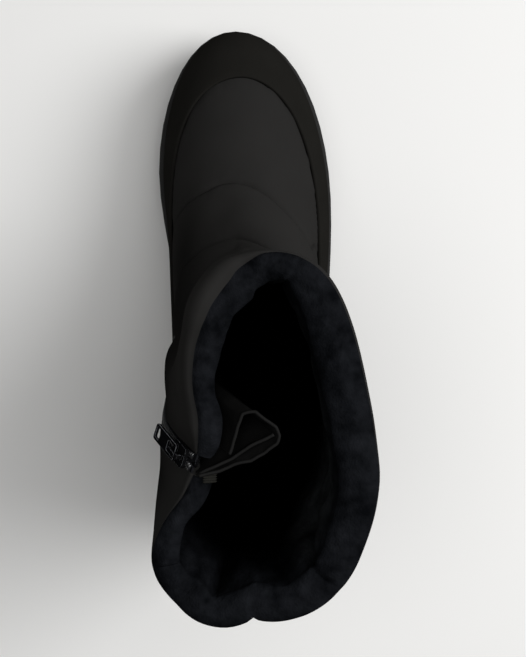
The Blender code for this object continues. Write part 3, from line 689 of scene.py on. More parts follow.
# Lining: the wall's thickness inside the nylon, thicker at the rim, with soft folds
RIM_EXTRA = (
    # degrees, how much thicker the rim is than the wall
    (-180.0, 5.6), (-150.0, 5.4), (-120.0, 6.4), (-90.0, 7.5), (-55.0, 8.0), (-28.0, 5.6), (8.0, 3.0),
    (20.0, 7.0), (34.0, 11.7), (47.0, 9.0), (58.0, 7.4), (72.0, 4.5), (86.0, 5.0), (94.0, 2.9),
    (101.0, 3.8), (107.0, 2.4), (115.0, -0.3), (124.0, 2.4), (133.0, 3.0), (146.0, 3.4), (180.0, 5.6),
)
LINING_SWELL = (
    # degrees, how far the lining stands in below the rim
    (-180.0, 4.5), (-150.0, 6.0), (-120.0, 8.0), (-90.0, 8.5), (-55.0, 9.0), (-28.0, 6.5), (0.0, 3.0),
    (30.0, 0.0), (112.0, 0.0), (146.0, 0.8), (180.0, 4.5),
)
LINING_FOLDS = (
    # degrees, height, half width in degrees
    (172.0, 2.0, 5.0), (164.0, -4.6, 2.6), (153.0, 1.2, 8.0), (134.0, -1.6, 3.0), (-168.0, -1.8, 4.0),
    (-155.0, 2.2, 7.0), (-143.0, -3.2, 3.0), (-128.0, 1.2, 6.0), (-112.0, -1.2, 4.0), (-84.0, 1.0, 8.0),
    (-58.0, -1.4, 5.0), (-30.0, 1.4, 7.0), (-12.0, -2.4, 3.5), (4.0, 1.6, 6.0), (24.0, -1.4, 4.0),
    (50.0, 0.9, 7.0),
)
SWELL_DEPTH = 30.0 * MM
SWELL_HALF = 24.0 * MM
RIM_EXTRA_HALF = 22.0 * MM
FOLDS_END = (110.0 * MM, 25.0 * MM)
FOLDS_AT_RIM = 0.45
FOLDS_FULL_DEPTH = 16.0 * MM
LINING_WAVES = ((1.1, 15.0, 5.1), (0.5, 6.0, 8.6))
LINING_FROM_ROWS = (0.5, 4.0)
LEAST_WALL = 2.4 * MM
FOOTBED_ROOM = 1.8 * MM
FOOTBED_ROWS = (1.4, 0.3)
BEHIND_ZIP = 97.0
SLOT_CLEAR = 10.0 * MM
FLAP_ROWS = (10.5, 10.9)
END_ROUND = 6.0 * MM
END_THIN_FRONT = 0.65
END_THIN_BACK = 0.9
END_SLANT = 3.4 * MM
END_SLANT_REACH = 12.0 * MM
END_SLANT_ROWS = (10.5, 11.0)
END_OUTER = 0.2
wall = section_value("wall", shell_rows) * MM
depth_down = run_along(shell[::-1])[::-1]
swell = by_degrees(LINING_SWELL, shell_degrees) * MM * bell(depth_down - SWELL_DEPTH, SWELL_HALF)
rim_extra = by_degrees(RIM_EXTRA, shell_degrees) * MM * bell(depth_down, RIM_EXTRA_HALF)
folds = np.zeros_like(wall)
for degrees, height, half_width in LINING_FOLDS:
    folds += height * MM * bell(degrees_apart(shell_degrees, degrees), half_width)
fold_growth = FOLDS_AT_RIM + (1 - FOLDS_AT_RIM) * between(0.0, FOLDS_FULL_DEPTH, depth_down)
folds *= between(*FOLDS_END, depth_down) * fold_growth
uneven = unevenness(shell, LINING_WAVES)
behind_zip = shell_degrees > BEHIND_ZIP
flaps = between(*FLAP_ROWS, shell_rows)
padded = np.maximum(between(0.0, SLOT_CLEAR, slot_gap), flaps) * between(*LINING_FROM_ROWS, shell_rows)
lining_in = wall + (swell + rim_extra + folds + uneven) * padded - rim_push * rim_share
# Under the footbed's edge
lining_in += FOOTBED_ROOM * between(*FOOTBED_ROWS, shell_rows)
# Above the slider both flaps are rounded off towards the slot
end_run = 1 - np.clip(slot_gap / END_ROUND, 0.0, 1.0)
end_thin = np.where(behind_zip, END_THIN_BACK, END_THIN_FRONT)
end_loss = (1 - end_thin) * (1 - np.sqrt(1 - end_run**2)) * flaps * lining_in
lift -= END_OUTER * end_loss
lining_in -= (1 - END_OUTER) * end_loss
inner = shell - np.maximum(lining_in, LEAST_WALL)[..., None] * normals
# The back flap's end slants forwards on the inside
slant = between(END_SLANT_REACH, 0.0, slot_gap) * between(*END_SLANT_ROWS, shell_rows)
inner[..., 0] += END_SLANT * slant * behind_zip
outer = shell + lift[..., None] * normals

# The roll over the edge: the nylon comes up to its seam with the plush, which goes on inside
NYLON_ROWS = 4
PLUSH_ROWS = 11
ROLL_HEIGHT = 0.9
ROLL_HALF = 5.2 * MM
ROLL_BY_WIDTH = 0.3
ROLL_WAVES = ((0.8, 9.0, 1.4), (1.2, 22.0, 6.2))
PLUSH_STAND = 0.7 * MM
PLUSH_STAND_FROM = 0.25
PLUSH_SEAM = -0.5 * MM
NYLON_SHARE = (
    # degrees, share of the half turn that nylon covers
    (-180.0, 0.05), (-120.0, 0.05), (-60.0, 0.09), (-20.0, 0.14), (8.0, 0.15), (16.0, 0.29), (28.0, 0.41),
    (36.0, 0.44), (47.0, 0.44), (58.0, 0.35), (76.0, 0.3), (86.0, 0.27), (94.0, 0.16), (101.0, 0.16),
    (115.0, 0.05), (128.0, 0.04), (180.0, 0.05),
)
ROLL_DENTS = (
    # degrees, depth, half width in degrees
    (165.0, 2.4, 3.0), (-146.0, 2.6, 2.2), (134.0, 3.4, 1.8), (152.0, 2.4, 2.0), (-12.0, 1.2, 3.0),
    (20.0, 0.8, 4.0),
)
rim_degrees = shell_degrees[-1]
nylon_turn = by_degrees(NYLON_SHARE, rim_degrees) * math.pi
rim_out = unit(outer[-1] - inner[-1])
rim_up = np.gradient(shell, axis=0)[-1]
rim_up = unit(rim_up - rim_out * (rim_up * rim_out).sum(1)[:, None])
rim_middle = 0.5 * (outer[-1] + inner[-1])
rim_half = 0.5 * np.linalg.norm(outer[-1] - inner[-1], axis=1)
roll_turns = [nylon_turn * (n + 1) / NYLON_ROWS for n in range(NYLON_ROWS)]
roll_turns += [nylon_turn + (math.pi - nylon_turn) * (n + 1) / (PLUSH_ROWS + 1) for n in range(PLUSH_ROWS)]
roll_turns = np.array(roll_turns)
pile_turns = np.linspace(PLUSH_STAND_FROM, math.pi, PLUSH_ROWS + 1)[:-1]
plush_stand = np.zeros_like(roll_turns)
plush_stand[NYLON_ROWS:] = PLUSH_STAND * np.sqrt(np.sin(pile_turns))[:, None]
plush_stand[NYLON_ROWS - 1] = PLUSH_SEAM
roll_reach = rim_half + plush_stand
roll_rise = ROLL_HEIGHT * (ROLL_BY_WIDTH * rim_half + (1 - ROLL_BY_WIDTH) * ROLL_HALF + plush_stand)
rim_roll = (
    rim_middle
    + (np.cos(roll_turns) * roll_reach)[..., None] * rim_out
    + (np.sin(roll_turns) * roll_rise)[..., None] * rim_up
)
roll_uneven = unevenness(rim_roll, ROLL_WAVES)
for degrees, depth, half_width in ROLL_DENTS:
    roll_uneven = roll_uneven - depth * MM * bell(degrees_apart(rim_degrees, degrees), half_width)
rim_roll += (roll_uneven * np.sin(roll_turns))[..., None] * rim_up

# One net from the sole up the outside, over the roll and down the lining, which takes every other row
tall = np.concatenate([outer, rim_roll, inner[::-2]])
plush_from = row_count + NYLON_ROWS - 1
inner_from = row_count + NYLON_ROWS + PLUSH_ROWS
tall_count = len(tall)
slot_to = inner_from + (row_count - 1 - slot_from) // 2
tall_faces = []
tall_lining = []
for j in range(tall_count - 1):
    for i in range(column_count):
        if i == FRONT_COLUMNS and slot_from <= j < slot_to:
            continue
        k = (i + 1) % column_count
        a = j * column_count
        b = a + column_count
        tall_faces.append((a + i, a + k, b + k, b + i))
        tall_lining.append(j >= plush_from)
for i in range(column_count):
    k = (i + 1) % column_count
    last = (tall_count - 1) * column_count
    tall_faces.append((k, i, last + i, last + k))
    tall_lining.append(True)
# The slot's own walls
for i, side in ((FRONT_COLUMNS, 1), (FRONT_COLUMNS + 1, -1)):
    for j in range(slot_from, row_count - 1, 2):
        m = inner_from + (row_count - 1 - j) // 2
        corners = [j, j + 1, j + 2, m - 1, m]
        tall_faces.append(tuple(c * column_count + i for c in corners[::-side]))
        tall_lining.append(False)
    corners = list(range(row_count - 1, inner_from + 1))
    tall_faces.append(tuple(c * column_count + i for c in corners[::-side]))
    tall_lining.append(False)
slot_floor = (
    slot_from * column_count + FRONT_COLUMNS,
    slot_from * column_count + FRONT_COLUMNS + 1,
    slot_to * column_count + FRONT_COLUMNS + 1,
    slot_to * column_count + FRONT_COLUMNS,
)
tall_faces.append(slot_floor)
tall_lining.append(False)


def piece_of(name, points, faces):
    """A new piece from points and faces, with its faces turned outwards and smooth."""
    mesh = bpy.data.meshes.new(name)
    mesh.from_pydata(points.reshape(-1, 3).tolist(), [], faces)
    mesh.update()
    piece = new_object(name, mesh)
    activate(piece)
    bpy.ops.object.mode_set(mode="EDIT")
    bpy.ops.mesh.select_all(action="SELECT")
    bpy.ops.mesh.normals_make_consistent(inside=False)
    bpy.ops.object.mode_set(mode="OBJECT")
    bpy.ops.object.shade_smooth()
    return piece


NYLON_DARK = (0.0182, 0.0177, 0.0172, 1.0)
NYLON_LIGHT = (0.0236, 0.0230, 0.0222, 1.0)
NYLON_TONE = (30.0, 3.0)
NYLON_WEAVE = (1500.0, 1.0)
NYLON_RIPPLE = (90.0, 2.0)
NYLON_ROUGHNESS = (0.5, 0.62)
NYLON_RELIEF = (0.5 * MM, 0.3)
WEAVE_SHARE = 0.15
# Painted shade: the inner side of the shaft is coloured darker. Each pair says where that starts and where
# it is full
NYLON_PAINTED_SHADE = (0.0088, 0.0086, 0.0083, 1.0)
SHADE_INNER = (0.014, 0.038)
SHADE_FOOT = (0.044, 0.094)
SHADE_FRONT = (0.062, 0.016)
SHADE_TOP = (0.246, 0.206)
nylon = Finish("padded_nylon", {"Specular IOR Level": 0.0})
nylon_tone = nylon.cloud(NYLON_TONE)
nylon_weave = nylon.cloud(NYLON_WEAVE)
nylon_ripple = nylon.cloud(NYLON_RIPPLE)
nylon_height = nylon.along(2)
nylon_painted_shade = nylon.rise(nylon.along(1), SHADE_INNER) * nylon.rise(nylon_height, SHADE_FOOT)
nylon_painted_shade = nylon_painted_shade * nylon.rise(nylon_height, SHADE_TOP)
nylon_painted_shade = nylon_painted_shade * nylon.rise(nylon.along(0), SHADE_FRONT)
nylon_colour = nylon.mix(nylon_tone, NYLON_DARK, NYLON_LIGHT)
nylon.drive("Base Color", nylon.mix(nylon_painted_shade, nylon_colour, NYLON_PAINTED_SHADE))
nylon.drive("Roughness", nylon_weave.spread(NYLON_ROUGHNESS))
nylon.drive("Normal", nylon.bump(nylon_weave * WEAVE_SHARE + nylon_ripple, NYLON_RELIEF))

upper = piece_of("padded_upper", tall, tall_faces)
upper.data.materials.append(nylon.material)
upper.data.materials.append(plush.material)
upper.data.polygons.foreach_set("material_index", np.array(tall_lining, dtype=np.int32))
smooth_below(upper, 60.0)
put_on(upper, "boot", "padded_nylon", None, "upper")


# Rand
# Matte coated mudguard round the toe, sides and heel, cut from one strip.
# It is sewn over the nylon along its top edge and cemented down to the sole.

RAND_FOOT_ROW = 0.1
RAND_BACK = -0.5 * MM
RAND_FACE = 1.4 * MM
RAND_ROWS = 22
RAND_EDGE_ROWS = 5
RAND_EDGE_RISE = 0.6
RAND_COLOUR_DARK = (0.0102, 0.0098, 0.0088, 1.0)
RAND_COLOUR_LIGHT = (0.0146, 0.0140, 0.0126, 1.0)
RAND_TONE = (45.0, 4.0)
RAND_GRAIN = (1100.0, 3.0)
RAND_RELIEF = (0.25 * MM, 0.6)
RAND_ROUGHNESS = (0.68, 0.86)

rand_levels = np.linspace(0.0, 1.0, RAND_ROWS)[:, None]
rand_shell_rows = RAND_FOOT_ROW + (rand_rows[None, :] - RAND_FOOT_ROW) * rand_levels
rand_shell = column_points(rand_shell_rows)
rand_normals = shell_normals(rand_shell)
rand_up = unit(np.gradient(rand_shell, axis=0))
edge_radius = 0.5 * (RAND_FACE - RAND_BACK)
edge_middle = rand_shell[-1] + (RAND_BACK + edge_radius) * rand_normals[-1]
edge_turns = np.linspace(0.0, math.pi, RAND_EDGE_ROWS + 2)[1:-1]
rand_edge = [
    edge_middle + edge_radius * (math.cos(a) * rand_normals[-1] + RAND_EDGE_RISE * math.sin(a) * rand_up[-1])
    for a in edge_turns
]
rand_tall = np.concatenate(
    [
        rand_shell + RAND_FACE * rand_normals,
        np.array(rand_edge),
        (rand_shell + RAND_BACK * rand_normals)[::-1],
    ]
)


def net_faces(rows, columns, rows_join=False, columns_join=False):
    """Faces of a net of points, whose last row or column may join its first."""
    faces = []
    for j in range(rows if rows_join else rows - 1):
        for i in range(columns if columns_join else columns - 1):
            k = (i + 1) % columns
            a = j * columns
            b = (j + 1) % rows * columns
            faces.append((a + i, a + k, b + k, b + i))
    return faces


rand_finish = Finish("matte_rand", {"Specular IOR Level": 0.0})
rand_grain = rand_finish.cloud(RAND_GRAIN)
rand_tone = rand_finish.cloud(RAND_TONE)
rand_finish.drive("Base Color", rand_finish.mix(rand_tone, RAND_COLOUR_DARK, RAND_COLOUR_LIGHT))
rand_finish.drive("Roughness", rand_grain.spread(RAND_ROUGHNESS))
rand_finish.drive("Normal", rand_finish.bump(rand_grain, RAND_RELIEF))

rand_faces = net_faces(len(rand_tall), column_count, rows_join=True, columns_join=True)
rand = piece_of("rand_strip", rand_tall, rand_faces)
put_on(rand, "boot", "rand", rand_finish, "rand")


# Gusset
# Thin nylon bellows sewn to the lining on both sides of the zip, folded inwards while the zip is closed.
# Its top edge is a rolled hem, and a second layer with its own hem lies along the back fold.

GUSSET_FOLDS = (
    # inwards, forwards
    (4.6, 9.0), (4.6, 17.5), (5.2, 26.4), (10.0, 29.2), (20.0, 25.0), (22.5, 22.0), (22.5, 18.5),
    (14.0, 8.8), (7.5, 5.2), (3.0, 1.2),
)
LAYER_FOLDS = (
    # inwards, forwards
    (20.2, 21.6), (12.0, 14.6), (6.2, 7.6), (1.0, 3.0), (-3.0, -0.2), (-6.0, -3.6),
)
GUSSET_EDGE = 8.5 * MM
GUSSET_SEAT = 0.9 * MM
GUSSET_BOTTOM_DEPTH = 0.10
GUSSET_BOTTOM_ROW = ZIP_BOTTOM + 0.4
GUSSET_TOP_ROW = 11.4
GUSSET_THICK = 0.7 * MM
GUSSET_ROWS = 56
GUSSET_ACROSS = 140
GUSSET_WAVES = ((0.9, 11.0, 2.2), (0.3, 4.0, 7.9))
HELD_SHARE = 0.14
FRONT_DIP = 6.0 * MM
FRONT_DIP_FOLDS = (1.0, 0.2)
FRONT_DIP_POWER = 4
# Near the top the back edge leaves the lining and runs along the zip's back tape
BACK_TAPE_EDGE = 3.0 * MM
BACK_TAPE_SUNK = 3.4 * MM
BACK_TAPE_ROWS = (10.3, 11.1)
HEM_RADIUS = 0.75 * MM
HEM_AROUND = 8
LAYER_HEIGHT = 12.0 * MM
LAYER_ROWS = 14
LAYER_ACROSS = 60
LAYER_WAVES = ((0.5, 7.0, 4.4),)
CORNER_SHARPNESS = 0.75
ROW_STEP = 0.05
ANGLE_STEP = 0.02
UP = np.array([0.0, 0.0, 1.0])


def zip_frames(rows):
    """Middle of the slot at these rows, with unit vectors across (backwards), along (upwards) and out."""
    rows = np.asarray(rows, float)
    angle = zip_angle(rows)
    low = np.maximum(rows - ROW_STEP, 0.0)
    high = np.minimum(rows + ROW_STEP, TOP_ROW)
    along = unit(last_surface(high, zip_angle(high)) - last_surface(low, zip_angle(low)))
    across = last_surface(rows, angle + ANGLE_STEP) - last_surface(rows, angle - ANGLE_STEP)
    across = unit(across - along * (across * along).sum(-1)[..., None])
    half = slot_angle(rows)
    middle = 0.5 * (last_surface(rows, angle - half) + last_surface(rows, angle + half))
    return middle, across, along, np.cross(across, along)


def sunk_points(rows, backwards, sunk):
    """Points this far below the outer face, and backwards of the slot's middle by this much."""
    speed = slot_width(rows) / (2 * slot_angle(rows))
    angle = zip_angle(rows) + backwards / speed
    around = last_surface(rows, angle + ANGLE_STEP) - last_surface(rows, angle - ANGLE_STEP)
    above = last_surface(rows + ROW_STEP, angle) - last_surface(rows, angle)
    return last_surface(rows, angle) - sunk[..., None] * unit(np.cross(around, above))


def folded(corners, count):
    """A line of points through these corners, between straight runs and a smooth curve."""
    marks = np.arange(len(corners), dtype=float)
    places = np.linspace(0.0, marks[-1], count)
    straight = np.stack([np.interp(places, marks, corners[:, k]) for k in range(3)], 1)
    smooth = np.stack([smooth_table(marks, corners[:, k], places) for k in range(3)], 1)
    return CORNER_SHARPNESS * straight + (1 - CORNER_SHARPNESS) * smooth


gusset_rows = np.linspace(GUSSET_BOTTOM_ROW, GUSSET_TOP_ROW, GUSSET_ROWS)
gusset_out = zip_frames(gusset_rows)[3]
level_in = unit(-gusset_out * np.array([1.0, 1.0, 0.0]))
level_forward = np.stack([-level_in[:, 1], level_in[:, 0], 0 * level_in[:, 0]], 1)
seat_sunk = section_value("wall", gusset_rows) * MM + GUSSET_SEAT
front_edges = sunk_points(gusset_rows, -GUSSET_EDGE, seat_sunk)
back_seats = sunk_points(gusset_rows, GUSSET_EDGE, seat_sunk)
to_tape = between(*BACK_TAPE_ROWS, gusset_rows)
back_edges = sunk_points(
    gusset_rows,
    GUSSET_EDGE + (BACK_TAPE_EDGE - GUSSET_EDGE) * to_tape,
    seat_sunk + (BACK_TAPE_SUNK - seat_sunk) * to_tape,
)
gusset_middle = 0.5 * (front_edges + back_seats)
gusset_height = np.linspace(0.0, 1.0, GUSSET_ROWS)
gusset_depth = GUSSET_BOTTOM_DEPTH + (1 - GUSSET_BOTTOM_DEPTH) * gusset_height
fold_in, fold_forward = np.array(GUSSET_FOLDS).T * MM
fold_count = len(GUSSET_FOLDS)
fold_across = 0.5 * GUSSET_EDGE * (1 - 2 * np.arange(fold_count) / (fold_count - 1))
cage = np.empty((GUSSET_ROWS, fold_count + 2, 3))
cage[:, 0] = front_edges
cage[:, -1] = back_edges
for m in range(fold_count):
    moved = fold_across[m] + (fold_forward[m] - fold_across[m]) * gusset_depth
    cage[:, m + 1] = (
        gusset_middle + (fold_in[m] * gusset_depth)[:, None] * level_in + moved[:, None] * level_forward
    )
gusset_sheet = np.array([folded(corners, GUSSET_ACROSS) for corners in cage])
sheet_normals = unit(np.cross(np.gradient(gusset_sheet, axis=1), np.gradient(gusset_sheet, axis=0)))
sheet_marks = np.linspace(0.0, 1.0, GUSSET_ACROSS)
held = between(0.0, HELD_SHARE, sheet_marks) * between(1.0, 1.0 - HELD_SHARE, sheet_marks)
ripple = unevenness(gusset_sheet, GUSSET_WAVES) * held
gusset_sheet = gusset_sheet + ripple[..., None] * sheet_normals
# Beside the front flap the top edge dips out of sight
dip = FRONT_DIP * between(*FRONT_DIP_FOLDS, sheet_marks * (fold_count + 1))
gusset_sheet[..., 2] -= gusset_height[:, None] ** FRONT_DIP_POWER * dip

layer_corners = np.array(
    [
        gusset_middle[-1] + inwards * MM * level_in[-1] + forwards * MM * level_forward[-1]
        for inwards, forwards in LAYER_FOLDS
    ]
)
layer_top = folded(layer_corners, LAYER_ACROSS)
layer_levels = np.linspace(LAYER_HEIGHT, 0.0, LAYER_ROWS)
layer_sheet = layer_top[None] - layer_levels[:, None, None] * UP
layer_sheet += unevenness(layer_sheet, LAYER_WAVES)[..., None] * level_forward[-1]


def thicken(sheet, thickness, smooth_degrees):
    modify(sheet, "SOLIDIFY", thickness=thickness, offset=0.0)
    smooth_below(sheet, smooth_degrees)


def rolled_hem(name, line):
    """A thin roll along a line, closed at both ends."""
    ahead = unit(np.gradient(line, axis=0))
    side = unit(np.cross(ahead, UP))
    upward = np.cross(side, ahead)
    turns = np.linspace(0.0, 2 * math.pi, HEM_AROUND, endpoint=False)
    rings = line[:, None] + HEM_RADIUS * (
        np.cos(turns)[None, :, None] * side[:, None] + np.sin(turns)[None, :, None] * upward[:, None]
    )
    faces = net_faces(len(line), HEM_AROUND, columns_join=True)
    last = (len(line) - 1) * HEM_AROUND
    faces.append(tuple(range(HEM_AROUND))[::-1])
    faces.append(tuple(range(last, last + HEM_AROUND)))
    return piece_of(name, rings, faces)


GUSSET_DARK = (0.0046, 0.0046, 0.0045, 1.0)
GUSSET_LIGHT = (0.0080, 0.0079, 0.0078, 1.0)
# Painted highlight: the hems are the gusset's nylon coloured lighter along the rolled edges
HEM_LIT_DARK = (0.0072, 0.0071, 0.0070, 1.0)
HEM_LIT_LIGHT = (0.0122, 0.0120, 0.0118, 1.0)
# Painted shade: the gusset's nylon goes towards this colour deep in the boot
GUSSET_PAINTED_SHADE = (0.0006, 0.0006, 0.0006, 1.0)
GUSSET_SHADE_FROM = (0.250, 0.205)
GUSSET_CRUSH = (160.0, 3.0)
GUSSET_RELIEF = (0.8 * MM, 0.5)
GUSSET_ROUGHNESS = (0.4, 0.52)


def thin_nylon(name, dark, light):
    """Thin crushed nylon, coloured darker the deeper it hangs in the boot: painted shade."""
    finish = Finish(name, {"Specular IOR Level": 0.02})
    crush = finish.cloud(GUSSET_CRUSH)
    painted_shade = finish.rise(finish.along(2), GUSSET_SHADE_FROM)
    finish.drive("Base Color", finish.mix(painted_shade, finish.mix(crush, dark, light), GUSSET_PAINTED_SHADE))
    finish.drive("Roughness", finish.cloud(NYLON_WEAVE).spread(GUSSET_ROUGHNESS))
    finish.drive("Normal", finish.bump(crush, GUSSET_RELIEF))
    return finish


gusset_nylon = thin_nylon("gusset_nylon", GUSSET_DARK, GUSSET_LIGHT)
hem_nylon_lit = thin_nylon("hem_nylon_lit", HEM_LIT_DARK, HEM_LIT_LIGHT)

gusset = piece_of("gusset_bellows", gusset_sheet, net_faces(GUSSET_ROWS, GUSSET_ACROSS))
thicken(gusset, GUSSET_THICK, 50.0)
put_on(gusset, "boot", "gusset_nylon", gusset_nylon, "gusset")
gusset_layer = piece_of("gusset_layer", layer_sheet, net_faces(LAYER_ROWS, LAYER_ACROSS))
thicken(gusset_layer, GUSSET_THICK, 50.0)
gusset_hem = rolled_hem("gusset_hem", gusset_sheet[-1, GUSSET_ACROSS // (fold_count + 1) :])
layer_hem = rolled_hem("layer_hem", layer_sheet[-1])
put_on(gusset_layer, "boot", "gusset_nylon", gusset_nylon)
put_on(gusset_hem, "boot", "gusset_nylon", hem_nylon_lit)
put_on(layer_hem, "boot", "gusset_nylon", hem_nylon_lit)


# Zip tape and coil
# Woven tape sewn under the slot's edges, with a nylon coil that the slider closes. Above the slider the
# two halves stand apart.

TAPE_DEPTH = -1.9 * MM
TAPE_THICK = 0.8 * MM
TAPE_REACH = 1.6 * MM
TAPE_INSET_ROWS = (0.02, 0.05)
TAPE_ROWS = 90
TAPE_COLUMNS = 5
TAPE_GAP = 0.05 * MM
OPEN_TAPE = 2.7 * MM
OPEN_FROM = 0.6
TOOTH_PITCH = 1.55 * MM
TOOTH_LONG = 3.0 * MM
TOOTH_WIDE = 0.95 * MM
TOOTH_HIGH = 1.5 * MM
TOOTH_ASIDE = 0.30 * TOOTH_LONG
TOOTH_RAISED = 0.45 * TOOTH_HIGH
COIL_INSET_ROWS = (0.06, 0.1)
COIL_STEPS = 800
TAPE_COLOUR = (0.0075, 0.0078, 0.0090, 1.0)
TAPE_WEAVE = (1300.0, 2.0)
TAPE_RELIEF = (0.3 * MM, 0.7)
COIL_COLOUR = (0.0110, 0.0114, 0.0130, 1.0)
COIL_WEAR = (400.0, 2.0)
COIL_ROUGHNESS = (0.28, 0.48)
# The coil shines at its top, near the slider
COIL_SHINES = (0.236, 0.244)
BAR_SQUARENESS = 0.6

tape_rows = np.linspace(ZIP_BOTTOM + TAPE_INSET_ROWS[0], RIM_ROW - TAPE_INSET_ROWS[1], TAPE_ROWS)
tape_middle, tape_across, _, tape_out = zip_frames(tape_rows)


def tape_piece(name, low_side, high_side):
    """A strip of tape between two distances across the slot, which may change along it."""
    columns = []
    for share in np.linspace(0.0, 1.0, TAPE_COLUMNS):
        side = low_side + (high_side - low_side) * share
        columns.append(tape_middle + side[:, None] * tape_across + TAPE_DEPTH * tape_out)
    strip = piece_of(name, np.stack(columns, 1), net_faces(TAPE_ROWS, TAPE_COLUMNS))
    thicken(strip, TAPE_THICK, 40.0)
    return strip


zip_tape = Finish("zip_tape", {"Specular IOR Level": 0.0, "Roughness": 0.8})
tape_weave = zip_tape.cloud(TAPE_WEAVE)
zip_tape.drive("Base Color", zip_tape.mix(tape_weave, TAPE_COLOUR, COIL_COLOUR))
zip_tape.drive("Normal", zip_tape.bump(tape_weave, TAPE_RELIEF))
zip_coil = Finish("zip_coil", {"Base Color": COIL_COLOUR, "Specular IOR Level": 0.1, "Coat Roughness": 0.2})
zip_coil.drive("Coat Weight", zip_coil.rise(zip_coil.along(2), COIL_SHINES))
zip_coil.drive("Roughness", zip_coil.cloud(COIL_WEAR).spread(COIL_ROUGHNESS))

tape_half = 0.5 * slot_width(tape_rows) + TAPE_REACH
opening = np.clip((tape_rows - ZIP_SLIDER_ROW) / (RIM_ROW - ZIP_SLIDER_ROW), 0.0, 1.0)
tape_gap = (0.5 * slot_width(tape_rows) - OPEN_TAPE) * between(0.0, OPEN_FROM, opening) + TAPE_GAP
front_tape = tape_piece("zip_tape_front", -tape_half, -tape_gap)
put_on(front_tape, "boot", "zip_coil", zip_tape, "zip_chain", "zip_end_front")
back_tape = tape_piece("zip_tape_back", tape_gap, tape_half)
put_on(back_tape, "boot", "zip_coil", zip_tape, "zip_end_back")


def repeat_along(name, template, frames):
    """One mesh with a copy of the template at each frame."""
    count = len(template.vertices)
    base = np.empty(count * 3)
    template.vertices.foreach_get("co", base)
    base = base.reshape(-1, 3)
    loops = [tuple(polygon.vertices) for polygon in template.polygons]
    points = []
    faces = []
    for n, (middle, axes) in enumerate(frames):
        points.append(middle + base @ axes)
        faces += [tuple(v + n * count for v in loop) for loop in loops]
    return piece_of(name, np.concatenate(points), faces)


def rounded_bar(length, width, height):
    """Template mesh of a small bar with round ends, from a sphere that is stretched and flattened."""
    bpy.ops.object.select_all(action="DESELECT")
    bpy.ops.mesh.primitive_uv_sphere_add(segments=8, ring_count=6, radius=0.5)
    bar = bpy.context.active_object
    template = bar.data
    points = np.array([v.co for v in template.vertices])
    points = np.sign(points) * np.abs(2 * points) ** BAR_SQUARENESS * 0.5
    points = points * np.array([length, width, height])
    template.vertices.foreach_set("co", points.astype(np.float32).ravel())
    bpy.data.objects.remove(bar)
    return template


fine_tape_rows = np.linspace(ZIP_BOTTOM + COIL_INSET_ROWS[0], RIM_ROW - COIL_INSET_ROWS[1], COIL_STEPS)
fine_middle, fine_across, fine_along, fine_out = zip_frames(fine_tape_rows)
zip_run = run_along(fine_middle)
tooth = rounded_bar(TOOTH_LONG, TOOTH_WIDE, TOOTH_HIGH)
tooth_frames = []
tooth_marks = np.arange(0.0, zip_run[-1], 0.5 * TOOTH_PITCH)
for n, mark in enumerate(tooth_marks):
    at = int(np.searchsorted(zip_run, mark))
    side = 1.0 if n % 2 else -1.0
    row = fine_tape_rows[at]
    apart = float(np.interp(row, tape_rows, tape_gap))
    middle = fine_middle[at] + side * (apart + TOOTH_ASIDE) * fine_across[at]
    middle = middle + (TAPE_DEPTH + 0.5 * TAPE_THICK + TOOTH_RAISED) * fine_out[at]
    tooth_frames.append((middle, np.stack([fine_across[at], fine_along[at], fine_out[at]])))
teeth = repeat_along("zip_teeth", tooth, tooth_frames)
put_on(teeth, "boot", "zip_coil", zip_coil)

# The back tape's end is turned in over the rim and sewn down: a short ribbed tab
TAB_PLACE = np.array([52.4 * MM - ORIGIN_X, 27.6 * MM - ORIGIN_Y])
TAB_RIBS = 4
TAB_RIB_PITCH = 1.0 * MM
TAB_LONG = 7.2 * MM
TAB_NEAR = 4.0 * MM
TAB_TOP = 3.0 * MM
TAB_RAISED = 0.3 * MM
TAB_RIB_WIDE = 1.15 * TAB_RIB_PITCH
TAB_RIB_HIGH = 1.1 * MM
TAB_WEAVE = (1200.0, 2.0)
TAB_COLOUR_DARK = (0.0050, 0.0048, 0.0039, 1.0)
TAB_COLOUR_LIGHT = (0.0125, 0.0121, 0.0099, 1.0)
rim_tops = rim_roll.reshape(-1, 3)
near_tab = rim_tops[np.linalg.norm(rim_tops[:, :2] - TAB_PLACE, axis=1) < TAB_NEAR]
near_tab = near_tab[near_tab[:, 2] > near_tab[:, 2].max() - TAB_TOP]
tab_grid = np.c_[near_tab[:, :2] - TAB_PLACE, np.ones(len(near_tab))]
slope_x, slope_y, tab_height = np.linalg.lstsq(tab_grid, near_tab[:, 2], rcond=None)[0]
tab_out = unit(np.array([-slope_x, -slope_y, 1.0]))
tab_along = unit(np.cross(tab_out, np.array([1.0, 0.0, 0.0])))
tab_across = np.cross(tab_along, tab_out)
tab_middle = np.array([*TAB_PLACE, tab_height]) + TAB_RAISED * tab_out
rib = rounded_bar(TAB_LONG, TAB_RIB_WIDE, TAB_RIB_HIGH)
rib_axes = np.stack([tab_along, tab_across, tab_out])
rib_steps = (np.arange(TAB_RIBS) - 0.5 * (TAB_RIBS - 1)) * TAB_RIB_PITCH
rib_frames = [(tab_middle + step * tab_across, rib_axes) for step in rib_steps]
tape_tab = repeat_along("tape_end_tab", rib, rib_frames)
tab_finish = Finish("tape_end", {"Specular IOR Level": 0.1, "Roughness": 0.8})
tab_weave = tab_finish.cloud(TAB_WEAVE)
tab_finish.drive("Base Color", tab_finish.mix(tab_weave, TAB_COLOUR_DARK, TAB_COLOUR_LIGHT))
put_on(tape_tab, "boot", "zip_coil", tab_finish)


# Slider and pull
# Die-cast slider with a bail, and a flat pull hooked into it with a window at its free end. Both have
# black enamel, worn bright along the edges.

